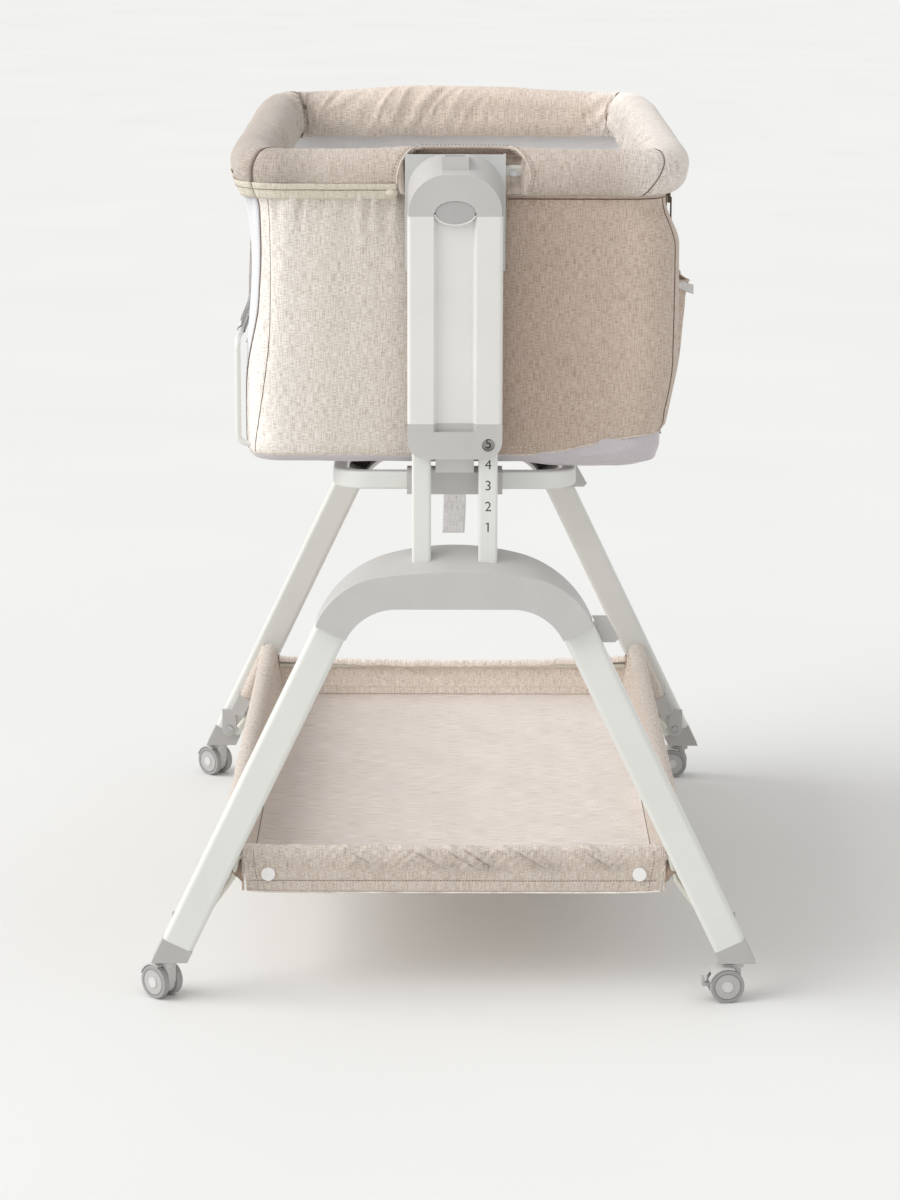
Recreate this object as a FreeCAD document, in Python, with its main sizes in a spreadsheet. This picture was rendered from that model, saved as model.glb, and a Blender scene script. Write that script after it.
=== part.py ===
import FreeCAD
import Part
import math
import os
import Sketcher
from FreeCAD import Placement, Rotation, Vector

# Bedside sleeper crib: a fabric sleeping basket carried on two telescopic end posts, which stand
# on splayed legs with casters, with a hung storage tray between the legs.
# Frame: origin on the floor midway between the posts, +X across the crib, +Y along it, +Z up.
# The near end is at -Y, and the side that drops open is at -X. Lengths are in millimetres.

os.makedirs("parts", exist_ok=True)
doc = FreeCAD.newDocument("bedside_sleeper_crib")
sheet = doc.addObject("Spreadsheet::Sheet", "Sizes")


# ---------------------------------------------------------------- sizes and expressions

class Size:
    """A length or angle worked out from the sheet: its number, and the expression for it."""

    def __init__(self, text, number):
        self.text = text
        self.number = number

    def __float__(self):
        return self.number

    def __add__(self, other):
        return joined(self, "+", other)

    def __radd__(self, other):
        return joined(other, "+", self)

    def __sub__(self, other):
        return joined(self, "-", other)

    def __rsub__(self, other):
        return joined(other, "-", self)

    def __mul__(self, other):
        return joined(self, "*", other)

    def __rmul__(self, other):
        return joined(other, "*", self)

    def __truediv__(self, other):
        return joined(self, "/", other)

    def __neg__(self):
        return joined(0, "-", self)


OPERATIONS = {
    "+": lambda a, b: a + b,
    "-": lambda a, b: a - b,
    "*": lambda a, b: a * b,
    "/": lambda a, b: a / b,
}


def as_size(value):
    if isinstance(value, Size):
        return value
    return Size(f"({float(value)})", float(value))


def joined(left, sign, right):
    left = as_size(left)
    right = as_size(right)
    return Size(f"({left.text} {sign} {right.text})", OPERATIONS[sign](left.number, right.number))


def sine(angle):
    return Size(f"sin({angle.text} * 1 deg)", math.sin(math.radians(angle.number)))


def cosine(angle):
    return Size(f"cos({angle.text} * 1 deg)", math.cos(math.radians(angle.number)))


def tangent(angle):
    return Size(f"tan({angle.text} * 1 deg)", math.tan(math.radians(angle.number)))


def root(value):
    return Size(f"sqrt({value.text})", math.sqrt(value.number))


def size(name, number, meaning):
    """Write one driving dimension into the next row of the sheet."""
    size.row += 1
    sheet.set(f"A{size.row}", meaning)
    sheet.set(f"B{size.row}", str(number))
    sheet.setAlias(f"B{size.row}", name)
    return Size(f"Sizes.{name}", float(number))


size.row = 0

# Clearances shared by every fit.
running_gap = size("running_gap", 0.05, "radial clearance of a pin that turns in its bore")
sliding_gap = size("sliding_gap", 0.3, "clearance each side of a piece that slides")
soft_gap = size("soft_gap", 0.3, "clearance between cloth and what it lies against")
press_gap = size("press_gap", 0.1, "clearance of a piece that is pushed in and stays")

# Telescopic posts: two flat rails fixed in the arch, and a sleeve that slides on them.
post_inner = size("post_inner", 406, "post's inner face from the crib's middle, along its length")
post_top = size("post_top", 856, "height of the sleeve's upper end at the top setting")
post_length = size("post_length", 295, "sleeve with both caps, from end to end")
post_half = size("post_half", 46.5, "half width of the post sleeve")
post_depth = size("post_depth", 30, "sleeve along the crib")
post_round = size("post_round", 4, "radius on the sleeve's upright edges")
post_corner = size("post_corner", 18, "radius of the bottom cap's lower corners")
bottom_cap_height = size("bottom_cap_height", 35, "bottom cap, up to its seam")
top_cap_height = size("top_cap_height", 57, "top cap, above its seam")
rail_across = size("rail_across", 32.8, "middle of each rail from the post's middle")
rail_width = size("rail_width", 19, "rail across the crib")
rail_depth = size("rail_depth", 15, "rail along the crib")
rail_wall = size("rail_wall", 1.5, "wall of the rail tube")
rail_round = size("rail_round", 3, "radius on the rail's edges")
rail_cover = size("rail_cover", 4.5, "sleeve between the rails and the basket")
rail_short = size("rail_short", 134, "rail's upper end below the sleeve's, at the top setting")
level_step = size("level_step", 21, "distance between two height settings")
level_count = size("level_count", 5, "number of height settings")
channel_mouth = size("channel_mouth", 21.5, "half width of the front channel at its mouth")
channel_floor = size("channel_floor", 17.5, "half width of the front channel at its floor")
channel_depth = size("channel_depth", 6.5, "depth of the front channel")
channel_foot = size("channel_foot", 27, "channel's lower end above the sleeve's")
cap_back_side = size("cap_back_side", 34, "top cap's back edge starts to round this far down")
cap_back_corner = size("cap_back_corner", 36, "corner radius of the top cap's back edge")
cap_face_side = size("cap_face_side", 50, "top cap's front face starts to round this far down")
cap_face_drop = size("cap_face_drop", 17, "front face's upper edge below the cap's top")
cap_face_corner = size("cap_face_corner", 38, "corner radius of the front face")
cap_face_inset = size("cap_face_inset", 1.5, "how far the front face's sides lie inside the sleeve")
cap_top_half = size("cap_top_half", 13, "half of the top cap's upper edge")
button_above = size("button_above", 4, "middle of the height button above the cap's seam")
button_half = size("button_half", 19, "half length of the oval height button")
button_rise = size("button_rise", 10.7, "half height of the oval height button")
button_depth = size("button_depth", 11, "thickness of the height button")
button_sunk = size("button_sunk", 0.8, "how far the button's face lies inside the sleeve's")
button_travel = size("button_travel", 4, "how far the height button can be pressed")
window_radius = size("window_radius", 6.5, "number window in the bottom cap")
window_above = size("window_above", 14, "middle of the number window above the sleeve's lower end")
socket_half = size("socket_half", 9.5, "half width of the accessory socket")
socket_length = size("socket_length", 12, "accessory socket along the crib")
socket_depth = size("socket_depth", 10, "depth of the accessory socket")
socket_lip = size("socket_lip", 3.5, "wall of the accessory socket's raised lip")
socket_setback = size("socket_setback", 7, "socket's lip behind the sleeve's front face")

post_front = post_inner + post_depth
post_foot = post_top - post_length
post_body_low = post_foot + bottom_cap_height
post_body_high = post_top - top_cap_height
rail_plane = post_inner + rail_cover + rail_depth / 2
rail_top = post_top - rail_short
travel = level_step * (level_count - 1)
button_height = post_body_high + button_above

# Stand: splayed flat-oval legs under two moulded end arches.
foot_outer = size("foot_outer", 306.8, "outer tip of the foot cap from the crib's middle")
foot_joint_rise = size("foot_joint_rise", 25.5, "foot cap's outer edge, from seat to seam")
leg_width = size("leg_width", 33, "leg tube across its wide face")
leg_depth = size("leg_depth", 22, "leg tube along the crib")
leg_wall = size("leg_wall", 1.5, "wall of the leg tube")
leg_round = size("leg_round", 5, "radius on the leg tube's long edges")
leg_lean = size("leg_lean", 25.6, "lean of each leg from upright, degrees")
arch_under = size("arch_under", 411.7, "height of the arch's flat underside")
arch_depth = size("arch_depth", 44, "arch along the crib")
arch_behind = size("arch_behind", 10.5, "arch between the rails and its open inner side")
arch_wall = size("arch_wall", 3, "moulded wall of the arch")
arch_flat = size("arch_flat", 57.1, "half of the flat underside")
arch_bend = size("arch_bend", 56, "radius from the flat underside into the leg")
arch_joint_drop = size("arch_joint_drop", 17.7, "leg seam's outer end below the flat underside")
back_knee_across = size("back_knee_across", 69.2, "half width where the back crown meets its shoulder")
back_knee_rise = size("back_knee_rise", 46.7, "height of that point above the flat underside")
back_shoulder = size("back_shoulder", 110, "shoulder radius of the arch's back edge")
back_crown = size("back_crown", 249, "crown radius of the arch's back edge")
front_knee_across = size("front_knee_across", 70, "half width where the front crown meets its shoulder")
front_knee_rise = size("front_knee_rise", 32.6, "height of that point above the flat underside")
front_shoulder = size("front_shoulder", 80, "shoulder radius of the arch's front edge")
front_crown = size("front_crown", 512, "crown radius of the arch's front edge")
core_margin = size("core_margin", 7.7, "solid middle of the arch beyond the rails")
rib_thickness = size("rib_thickness", 2, "stiffening rib inside the arch")
low_rib_turn = size("low_rib_turn", 48, "lowest rib from level, degrees")
mid_rib_turn = size("mid_rib_turn", 76, "rib over the leg from level, degrees")
high_rib_fall = size("high_rib_fall", 32, "rib under the crown below level, degrees")
outer_rib_fall = size("outer_rib_fall", 48, "outermost rib below level, degrees")
rail_seat = size("rail_seat", 4.3, "rail's lower end above the arch's underside")
plate_above = size("plate_above", 4, "leg plate's upper end above the leg's seam")
plate_below = size("plate_below", 12, "leg plate on the leg below the leg's seam")
plate_slack = size("plate_slack", 1.5, "clearance between leg plate and arch")
plate_upright = size("plate_upright", 27, "leg plate, upright")
plate_beyond = size("plate_beyond", 16, "leg plate outside the leg's outer edge")
plate_over = size("plate_over", 14, "leg plate lying on the leg's inner side")
plate_thickness = size("plate_thickness", 3, "thickness of the leg plate")

arch_inner_face = rail_plane - rail_depth / 2 - arch_behind
leg_plane = arch_inner_face + arch_depth / 2
leg_inner_face = leg_plane - leg_depth / 2
arch_joint = arch_under - arch_joint_drop
arch_core = rail_across + rail_width / 2 + core_margin
back_knee_height = arch_under + back_knee_rise
front_knee_height = arch_under + front_knee_rise
rail_foot = arch_under + rail_seat

# Casters: twin wheels on one axle, a hooded housing that swivels, and a foot brake.
wheel_radius = size("wheel_radius", 17.5, "caster wheel")
wheel_width = size("wheel_width", 7.5, "one of the twin wheels")
wheel_spread = size("wheel_spread", 11, "space between the twin wheels")
wheel_round = size("wheel_round", 1.2, "radius on the wheel's edges")
wheel_groove = size("wheel_groove", 4.5, "groove in the wheel's face, in from its tread")
groove_width = size("groove_width", 0.7, "width and depth of that groove")
hub_radius = size("hub_radius", 5.5, "hub cap at the wheel's middle")
hub_rise = size("hub_rise", 1, "how far the hub cap stands out")
axle_radius = size("axle_radius", 2.5, "wheel axle")
trail = size("trail", 12, "how far the axle lies behind the stem")
web_margin = size("web_margin", 3.5, "housing web inside the wheel's tread")
boss_radius = size("boss_radius", 6.5, "housing boss round the stem")
hood_gap = size("hood_gap", 0.7, "gap between wheel and hood")
hood_wall = size("hood_wall", 1.4, "thickness of the hood")
hood_side = size("hood_side", 6, "hood's lower edge above the axle")
hood_open = size("hood_open", 7, "hood's front edge in front of the axle")
caster_headroom = size("caster_headroom", 5.4, "boss above the wheels")
caster_gap = size("caster_gap", 0.6, "gap between foot cap and caster")
stem_radius = size("stem_radius", 4, "caster stem")
stem_reach = size("stem_reach", 15, "how far the stem goes up into the foot cap")
brake_reach = size("brake_reach", 36.5, "tip of the brake lever from the stem")
brake_width = size("brake_width", 8, "brake lever across")
brake_thickness = size("brake_thickness", 3, "thickness of the brake lever")
brake_pin = size("brake_pin", 1.5, "radius of the brake lever's pin")
brake_back = size("brake_back", 12, "brake lever's pin behind the axle")
brake_above = size("brake_above", 3, "brake lever's pin above the axle")
brake_eye = size("brake_eye", 1.6, "wall of the brake lever's eye round its pin")
brake_slot = size("brake_slot", 6.5, "brake lever's slot in the housing behind the axle")
slot_above = size("slot_above", 12, "top of that slot above the axle")
brake_tab = size("brake_tab", 9, "foot tab of the brake lever, along and upright")
tab_wall = size("tab_wall", 2.4, "thickness of the foot tab's upright end")
lever_above = size("lever_above", 1, "underside of the brake lever above the axle")

caster_top = 2 * wheel_radius + caster_headroom
foot_base = caster_top + caster_gap
foot_joint = foot_base + foot_joint_rise

# Rim: a flat tube bent round the top of the basket, under a padded fabric cover.
rim_drop = size("rim_drop", 20, "rim's middle line below the post's upper end")
rim_half_width = size("rim_half_width", 199, "half width of the rim's middle line")
rim_setback = size("rim_setback", 26, "rim's middle line in from the post")
rim_corner = size("rim_corner", 32, "corner radius of the rim's middle line")
pad_radius = size("pad_radius", 24, "padded rim cover")
rim_tube_height = size("rim_tube_height", 15, "rim tube, upright")
rim_tube_depth = size("rim_tube_depth", 11, "rim tube, flat")
rim_tube_round = size("rim_tube_round", 3, "radius on the rim tube's edges")
rim_split_turn = size("rim_split_turn", 40, "drop side's seam round its corner from the end run, degrees")
rim_split_gap = size("rim_split_gap", 0.8, "gap between fixed and dropping rim")
notch_margin = size("notch_margin", 17, "pad's cut-out beyond the bracket, each side")
notch_skin = size("notch_skin", 12, "padding left behind the cut-out")
notch_lip = size("notch_lip", 5, "padding left under the cut-out")
saddle_half = size("saddle_half", 49, "half width of the bracket that joins rim and post")
saddle_wall = size("saddle_wall", 4, "wall of the bracket round the rim tube")
plate_wall = size("plate_wall", 2.4, "thickness of the bracket plate")
plate_flange = size("plate_flange", 9.6, "depth of the bracket plate's side flanges")
plate_length = size("plate_length", 113, "bracket plate, upright")
screw_beyond = size("screw_beyond", 8, "rim screw beyond the bracket")
screw_radius = size("screw_radius", 2, "rim screw's shank")
screw_head = size("screw_head", 3.4, "rim screw's head")
screw_head_height = size("screw_head_height", 1.6, "height of the rim screw's head")

rim_height = post_top - rim_drop
rim_half_length = post_inner - rim_setback
notch_half = saddle_half + notch_margin
screw_across = saddle_half + screw_beyond
plate_low = post_top - plate_length

# Basket: fabric walls with a mesh drop side, hung from the rim, and its floor.
wall_beyond_side = size("wall_beyond_side", 9, "wall's face outside the rim's middle line, sides")
wall_beyond_end = size("wall_beyond_end", 8, "wall's face outside the rim's middle line, ends")
wall_corner = size("wall_corner", 35, "corner radius of the basket outside")
cloth_wall = size("cloth_wall", 4, "thickness of the fabric wall")
wall_drop = size("wall_drop", 279, "wall's hem below the rim's middle line")
barrier = size("barrier", 103, "low barrier that stays when the side drops")
bar_above = size("bar_above", 8.5, "guard bar's top run above the barrier: the drop side's hinge")
bar_stand = size("bar_stand", 8, "guard bar outside the wall")
bar_inset = size("bar_inset", 23, "guard bar's ends in from the basket's")
bar_root = size("bar_root", 14, "guard bar's ends inside the wall's outer face")
bar_radius = size("bar_radius", 3, "guard bar")
bar_bend = size("bar_bend", 9, "bend radius of the guard bar")
window_inset = size("window_inset", 39, "drop side's opening in from the guard bar's ends")
loop_inset = size("loop_inset", 26, "fabric loop in from the drop side's opening")
loop_wall = size("loop_wall", 1.6, "fabric loop round the guard bar")
mesh_wall = size("mesh_wall", 2, "thickness of the drop side's mesh")
mesh_inset = size("mesh_inset", 1, "mesh inside the wall's outer face")
mesh_margin = size("mesh_margin", 2, "mesh short of its opening, each end")
board_above = size("board_above", 3, "floor board above the wall's hem")
board_wall = size("board_wall", 8, "thickness of the floor board")
mattress_height = size("mattress_height", 34, "mattress at its crown")
mattress_edge = size("mattress_edge", 24, "mattress at its edge")
mattress_margin = size("mattress_margin", 2, "mattress in from the floor board's edge")
mattress_corner = size("mattress_corner", 41, "corner radius of the mattress")
mattress_foot = size("mattress_foot", 4, "mattress's foot in from its fullest line")
mattress_turn = size("mattress_turn", 5, "mattress's upper edge in from its fullest line")
crown_start = size("crown_start", 45, "foot of the mattress's crown in from its edge")
crown_flat = size("crown_flat", 110, "top of the mattress's crown in from its edge")
crown_ease = size("crown_ease", 3, "foot of the crown below its top")
cover_drop = size("cover_drop", 14, "how far the bottom cover hangs below the board")
cover_corner = size("cover_corner", 46, "corner radius of the bottom cover")
cover_flat = size("cover_flat", 70, "lowest part of the bottom cover in from its edge")
cover_turn = size("cover_turn", 26, "bottom cover in from its edge at four fifths of its drop")
cover_edge = size("cover_edge", 6, "bottom cover in from its edge at two fifths of its drop")
pocket_near = size("pocket_near", 300, "near end of the side pocket from the crib's middle")
pocket_far = size("pocket_far", 30, "far end of the side pocket from the crib's middle")
pocket_above = size("pocket_above", 6, "pocket's bottom above the wall's hem")
pocket_height = size("pocket_height", 155, "height of the side pocket")
pocket_bulge = size("pocket_bulge", 24, "how far the pocket's mouth stands off the wall")
pocket_foot = size("pocket_foot", 6, "how far the pocket's bottom stands off the wall")
pocket_wall = size("pocket_wall", 2, "thickness of the pocket's cloth")
pocket_slope = size("pocket_slope", 36, "length of the pocket's slanted ends along the crib")
pocket_edge = size("pocket_edge", 0.5, "how far the pocket's ends stand off the wall")
zip_along = size("zip_along", 330, "zip slider from the crib's middle, towards the near end")
slider_length = size("slider_length", 12, "zip slider along the crib")
slider_height = size("slider_height", 10, "zip slider, upright")
slider_depth = size("slider_depth", 6, "zip slider's thickness")
pull_length = size("pull_length", 22, "zip slider's pull tab")
pull_width = size("pull_width", 6, "pull tab along the crib")
pull_wall = size("pull_wall", 1.4, "pull tab's thickness")

wall_half_width = rim_half_width + wall_beyond_side
wall_half_length = rim_half_length + wall_beyond_end
wall_low = rim_height - wall_drop
wall_high = rim_height - pad_radius + soft_gap
barrier_top = wall_low + barrier
bar_height = barrier_top + bar_above
bar_across = wall_half_width + bar_stand
bar_half = wall_half_length - bar_inset
window_half = bar_half - window_inset
loop_half = window_half - loop_inset
board_height = wall_low + board_above

# Lower ring under the basket, held by a clamp and hanger at each post.
ring_half_width = size("ring_half_width", 122, "half width of the ring outside")
ring_setback = size("ring_setback", 31, "ring's middle line in from the post")
ring_below = size("ring_below", 31, "ring's middle line below the post")
ring_radius = size("ring_radius", 9, "ring tube")
ring_corner = size("ring_corner", 30, "corner radius of the ring's middle line")
clamp_half = size("clamp_half", 47.5, "half width of the ring clamp")
clamp_wall = size("clamp_wall", 1.9, "wall of the clamp above and below the ring")
clamp_gap = size("clamp_gap", 1, "clearance between ring clamp and arch as the basket slides")
clamp_inner = size("clamp_inner", 13, "clamp's inner end in from the ring's middle line")
hanger_half = size("hanger_half", 19, "half width of the hanger between clamp and post")
hanger_depth = size("hanger_depth", 10.5, "hanger along the crib")
hanger_step = size("hanger_step", 1, "height over the post's foot where the hanger steps outwards")
hanger_reach = size("hanger_reach", 79, "hanger's upper end above the post's foot")
strap_width = size("strap_width", 25, "webbing strap under the basket")
strap_wall = size("strap_wall", 2, "thickness of the webbing")
strap_length = size("strap_length", 161, "webbing strap below the bottom cover")
strap_along = size("strap_along", 60, "strap from the crib's middle, towards the far end")

ring_height = post_foot - ring_below
ring_half_length = post_inner - ring_setback
clamp_front = arch_inner_face - clamp_gap
clamp_high = ring_height + ring_radius + press_gap + clamp_wall

# Storage tray between the legs: cloth on two bent side tubes and two wires.
tray_half = size("tray_half", 210, "half width of the tray's floor")
tray_flare = size("tray_flare", 6.5, "how far each side leans out at the tray's mouth")
tray_gap = size("tray_gap", 3.5, "gap between tray and legs")
tray_low = size("tray_low", 106, "height of the tray's underside")
tray_depth = size("tray_depth", 53, "tray from its underside to its mouth")
tray_wall = size("tray_wall", 2.5, "thickness of the tray's sides")
tray_hem = size("tray_hem", 8, "thickness of the hem that holds the wire")
tray_floor = size("tray_floor", 4, "thickness of the tray's floor")
tray_corner = size("tray_corner", 6, "corner radius of the tray outside")
side_hem = size("side_hem", 3, "cloth round the side tube")
hem_inset = size("hem_inset", 24, "cloth round the side tube short of its knees")
wire_radius = size("wire_radius", 3, "wire in the tray's hem")
wire_below = size("wire_below", 13, "wire below the tray's mouth")
wire_drop = size("wire_drop", 24, "height over which the wire bends down beside the tray")
side_tube_radius = size("side_tube_radius", 6, "tray side tube")
side_tube_height = size("side_tube_height", 172, "height of the side tube's long run")
side_tube_bend = size("side_tube_bend", 22, "bend radius of the side tube")
clip_above = size("clip_above", 21, "side tube's lower end above the clip's bolt")
clip_length = size("clip_length", 24, "clip along the tube")
clip_width = size("clip_width", 17, "clip across the tube")
clip_wall = size("clip_wall", 1.9, "wall of the clip between tube and leg")
lug_above = size("lug_above", 22, "clip's bolt above the foot cap's seat")
lug_radius = size("lug_radius", 9, "clip's lug round the bolt")
lug_depth = size("lug_depth", 4, "clip's lug along the crib")
bolt_radius = size("bolt_radius", 2.1, "clip bolt's shank")
bolt_head = size("bolt_head", 4.8, "clip bolt's head")
bolt_head_height = size("bolt_head_height", 2.6, "height of the clip bolt's head")
bolt_reach = size("bolt_reach", 6, "how far the bolt goes into the leg")
snap_inset = size("snap_inset", 21.5, "tray snap in from the tray's side")
snap_above = size("snap_above", 22, "tray snap above the tray's underside")
snap_radius = size("snap_radius", 7.1, "tray snap")
snap_rise = size("snap_rise", 1.8, "how far a tray snap stands off the hem")

lug_height = foot_base + lug_above
clip_height = lug_height + clip_above
tray_high = tray_low + tray_depth
tray_top_half = tray_half + tray_flare
tray_half_length = leg_inner_face - tray_gap
wire_height = tray_high - wire_below
wire_plane = tray_half_length - tray_hem / 2
clip_plane = leg_inner_face - press_gap
side_tube_plane = clip_plane - clip_wall - side_tube_radius
clip_depth = 2 * (side_tube_radius + clip_wall)
doc.recompute()


# ---------------------------------------------------------------- shape helpers

def bind(thing, path, value):
    thing.setExpression(path, as_size(value).text)


def put(thing, along_x, along_y, along_z, axis=Vector(0, 0, 1), turn=0):
    """Place an object: a turn about an axis, then a bound position."""
    thing.Placement = Placement(Vector(), Rotation(axis, float(turn)))
    bind(thing, "Placement.Base.x", along_x)
    bind(thing, "Placement.Base.y", along_y)
    bind(thing, "Placement.Base.z", along_z)
    return thing


def box(name, along_x, along_y, along_z, length, width, height):
    """A block from its lowest corner."""
    thing = doc.addObject("Part::Box", name)
    bind(thing, "Length", length)
    bind(thing, "Width", width)
    bind(thing, "Height", height)
    return put(thing, along_x, along_y, along_z)


UPRIGHT = (Vector(0, 0, 1), 0)
ALONG_Y = (Vector(1, 0, 0), -90)
ALONG_X = (Vector(0, 1, 0), 90)


def rod(name, start, radius, length, direction=UPRIGHT):
    thing = doc.addObject("Part::Cylinder", name)
    bind(thing, "Radius", radius)
    bind(thing, "Height", length)
    return put(thing, *start, *direction)


def joined_shapes(name, pieces):
    thing = doc.addObject("Part::MultiFuse", name)
    thing.Shapes = pieces
    return thing


def cut(name, base, tools):
    """Cut one or more tools out of a base."""
    thing = doc.addObject("Part::Cut", name)
    thing.Base = base
    thing.Tool = tools[0] if len(tools) == 1 else joined_shapes(name + "_tools", tools)
    return thing


def common(name, base, tool):
    thing = doc.addObject("Part::Common", name)
    thing.Base = base
    thing.Tool = tool
    return thing


def group(name, pieces):
    """Like pieces that share one node, as separate solids."""
    thing = doc.addObject("Part::Compound", name)
    thing.Links = pieces
    return thing


def mirrored(name, source, normal):
    thing = doc.addObject("Part::Mirroring", name)
    thing.Source = source
    thing.Normal = normal
    return thing


ACROSS = Vector(1, 0, 0)
LENGTHWAYS = Vector(0, 1, 0)


def origin_plane(body, role):
    return next(plane for plane in body.Origin.OriginFeatures if plane.Role == role)


def arc_edge(start, end, radius):
    """The short arc between two points: a positive radius turns left, a negative one right."""
    chord = end - start
    middle = (start + end) * 0.5
    left = Vector(-chord.y, chord.x, 0).normalize()
    rise = math.sqrt(max(radius * radius - chord.Length ** 2 / 4, 0))
    centre = middle + left * math.copysign(rise, radius)
    first, last = (start, end) if radius > 0 else (end, start)
    angles = [math.atan2(point.y - centre.y, point.x - centre.x) for point in (first, last)]
    circle = Part.Circle(centre, Vector(0, 0, 1), abs(radius))
    return Part.ArcOfCircle(circle, angles[0], angles[1])


def sketched(body, name, plane, offset, outline):
    """A closed outline on an origin plane. Each corner is (u, v), or (u, v, radius) for an arc on
    to the next corner, and each is held by its two bound distances from the origin."""
    sketch = body.newObject("Sketcher::SketchObject", name)
    sketch.AttachmentSupport = [(origin_plane(body, plane), "")]
    sketch.MapMode = "FlatFace"
    bind(sketch, "AttachmentOffset.Base.z", offset)
    points = [Vector(float(corner[0]), float(corner[1]), 0) for corner in outline]
    ends = []
    for index, corner in enumerate(outline):
        start = points[index]
        end = points[(index + 1) % len(points)]
        if len(corner) == 3:
            sketch.addGeometry(arc_edge(start, end, float(corner[2])), False)
            ends.append((1, 2) if float(corner[2]) > 0 else (2, 1))
        else:
            sketch.addGeometry(Part.LineSegment(start, end), False)
            ends.append((1, 2))
    for index, (_, last) in enumerate(ends):
        after = (index + 1) % len(ends)
        sketch.addConstraint(
            Sketcher.Constraint("Coincident", index, last, after, ends[after][0]))
    for index, corner in enumerate(outline):
        for kind, value in (("DistanceX", corner[0]), ("DistanceY", corner[1])):
            held = sketch.addConstraint(
                Sketcher.Constraint(kind, -1, 1, index, ends[index][0], float(value)))
            bind(sketch, f"Constraints[{held}]", value)
        if len(corner) == 3:
            radius = corner[2] if float(corner[2]) > 0 else -corner[2]
            held = sketch.addConstraint(Sketcher.Constraint("Radius", index, float(radius)))
            bind(sketch, f"Constraints[{held}]", radius)
    return sketch


def prism(name, plane, outline, start, depth):
    """An outline pushed along +X, +Y or +Z from its start, as a padded sketch."""
    body = doc.addObject("PartDesign::Body", name)
    backwards = plane == "XZ_Plane"
    offset = -start if backwards else start
    pad = body.newObject("PartDesign::Pad", name + "_pad")
    pad.Profile = sketched(body, name + "_outline", plane, as_size(offset), outline)
    pad.Reversed = backwards
    bind(pad, "Length", depth)
    body.Tip = pad
    return body


def lofted(name, plane, sections):
    """A skin through outlines at several offsets along +X, +Y or +Z."""
    body = doc.addObject("PartDesign::Body", name)
    sign = -1 if plane == "XZ_Plane" else 1
    sketches = []
    for index, (offset, outline) in enumerate(sections):
        place = as_size(offset) * sign
        sketches.append(sketched(body, f"{name}_section_{index}", plane, place, outline))
    loft = body.newObject("PartDesign::AdditiveLoft", name + "_loft")
    loft.Profile = sketches[0]
    loft.Sections = sketches[1:]
    loft.Ruled = True
    body.Tip = loft
    return body


def rounded_rectangle(half_across, half_along, radius, middle=(0, 0)):
    """Corners of a rectangle with quarter-round corners, anticlockwise from the lower right."""
    corners = []
    for sign_x, sign_y in ((1, -1), (1, 1), (-1, 1), (-1, -1)):
        outer_x = middle[0] + sign_x * half_across
        outer_y = middle[1] + sign_y * half_along
        inner_x = middle[0] + sign_x * (half_across - radius)
        inner_y = middle[1] + sign_y * (half_along - radius)
        if sign_x * sign_y < 0:
            corners.append((inner_x, outer_y, radius))
            corners.append((outer_x, inner_y))
        else:
            corners.append((outer_x, inner_y, radius))
            corners.append((inner_x, outer_y))
    return corners


def revolved(name, outline):
    """A half section (radius, along) turned about the Y axis."""
    body = doc.addObject("PartDesign::Body", name)
    turned = body.newObject("PartDesign::Revolution", name + "_turned")
    turned.Profile = sketched(body, name + "_outline", "XY_Plane", as_size(0), outline)
    axis = next(line for line in body.Origin.OriginFeatures if line.Role == "Y_Axis")
    turned.ReferenceAxis = (axis, [""])
    turned.Angle = 360
    body.Tip = turned
    return body


def path_wire(points, bend):
    """Straight runs joined by tangent arcs of one bend radius."""
    points = [Vector(*(float(value) for value in point)) for point in points]
    edges = []
    here = points[0]
    for before, corner, after in zip(points, points[1:], points[2:]):
        inward = (before - corner).normalize()
        outward = (after - corner).normalize()
        half_turn = inward.getAngle(outward) / 2
        reach = float(bend) / math.tan(half_turn)
        middle = (inward + outward).normalize()
        start = corner + inward * reach
        end = corner + outward * reach
        centre = corner + middle * (float(bend) / math.sin(half_turn))
        edges.append(Part.LineSegment(here, start).toShape())
        edges.append(Part.Arc(start, centre - middle * float(bend), end).toShape())
        here = end
    edges.append(Part.LineSegment(here, points[-1]).toShape())
    return Part.Wire(edges)


def piped(name, points, bend, radius):
    """A round tube or wire along a bent path."""
    spine = doc.addObject("Part::Feature", name + "_path")
    spine.Shape = path_wire(points, bend)
    section = doc.addObject("Part::Circle", name + "_section")
    bind(section, "Radius", radius)
    start = spine.Shape.Edges[0]
    heading = start.tangentAt(start.FirstParameter)
    section.Placement = Placement(start.valueAt(start.FirstParameter),
                                  Rotation(Vector(0, 0, 1), heading))
    tube = doc.addObject("Part::Sweep", name)
    tube.Sections = [section]
    tube.Spine = (spine, [f"Edge{index + 1}" for index in range(len(spine.Shape.Edges))])
    tube.Solid = True
    tube.Frenet = False
    return tube


def rounded_edges(name, source, radius, wanted):
    """Round the edges of a finished shape that a test picks out."""
    doc.recompute()
    thing = doc.addObject("Part::Fillet", name)
    thing.Base = source
    amount = float(radius)
    thing.Edges = [
        (index + 1, amount, amount)
        for index, edge in enumerate(source.Shape.Edges) if wanted(edge)
    ]
    return thing


def runs_along(direction, least):
    """A test for straight edges longer than least that lie along a direction."""
    direction = Vector(direction).normalize()

    def wanted(edge):
        if not isinstance(edge.Curve, Part.Line) or edge.Length < least:
            return False
        return abs(edge.tangentAt(edge.FirstParameter).dot(direction)) > 0.9999

    return wanted


nodes = []


def keep(thing, label):
    """Name a finished sub-part: its label is the name of its node and file."""
    thing.Label = label
    nodes.append(thing)
    return thing


def keep_pair(source, name):
    """Keep a near-end piece and its mirror image at the far end."""
    keep(source, "near_" + name)
    return keep(mirrored("far_" + name, source, LENGTHWAYS), "far_" + name)


def corner_name(along, across, name):
    return f"{along}_{across}_{name}"


# ---------------------------------------------------------------- legs and foot caps

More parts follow.
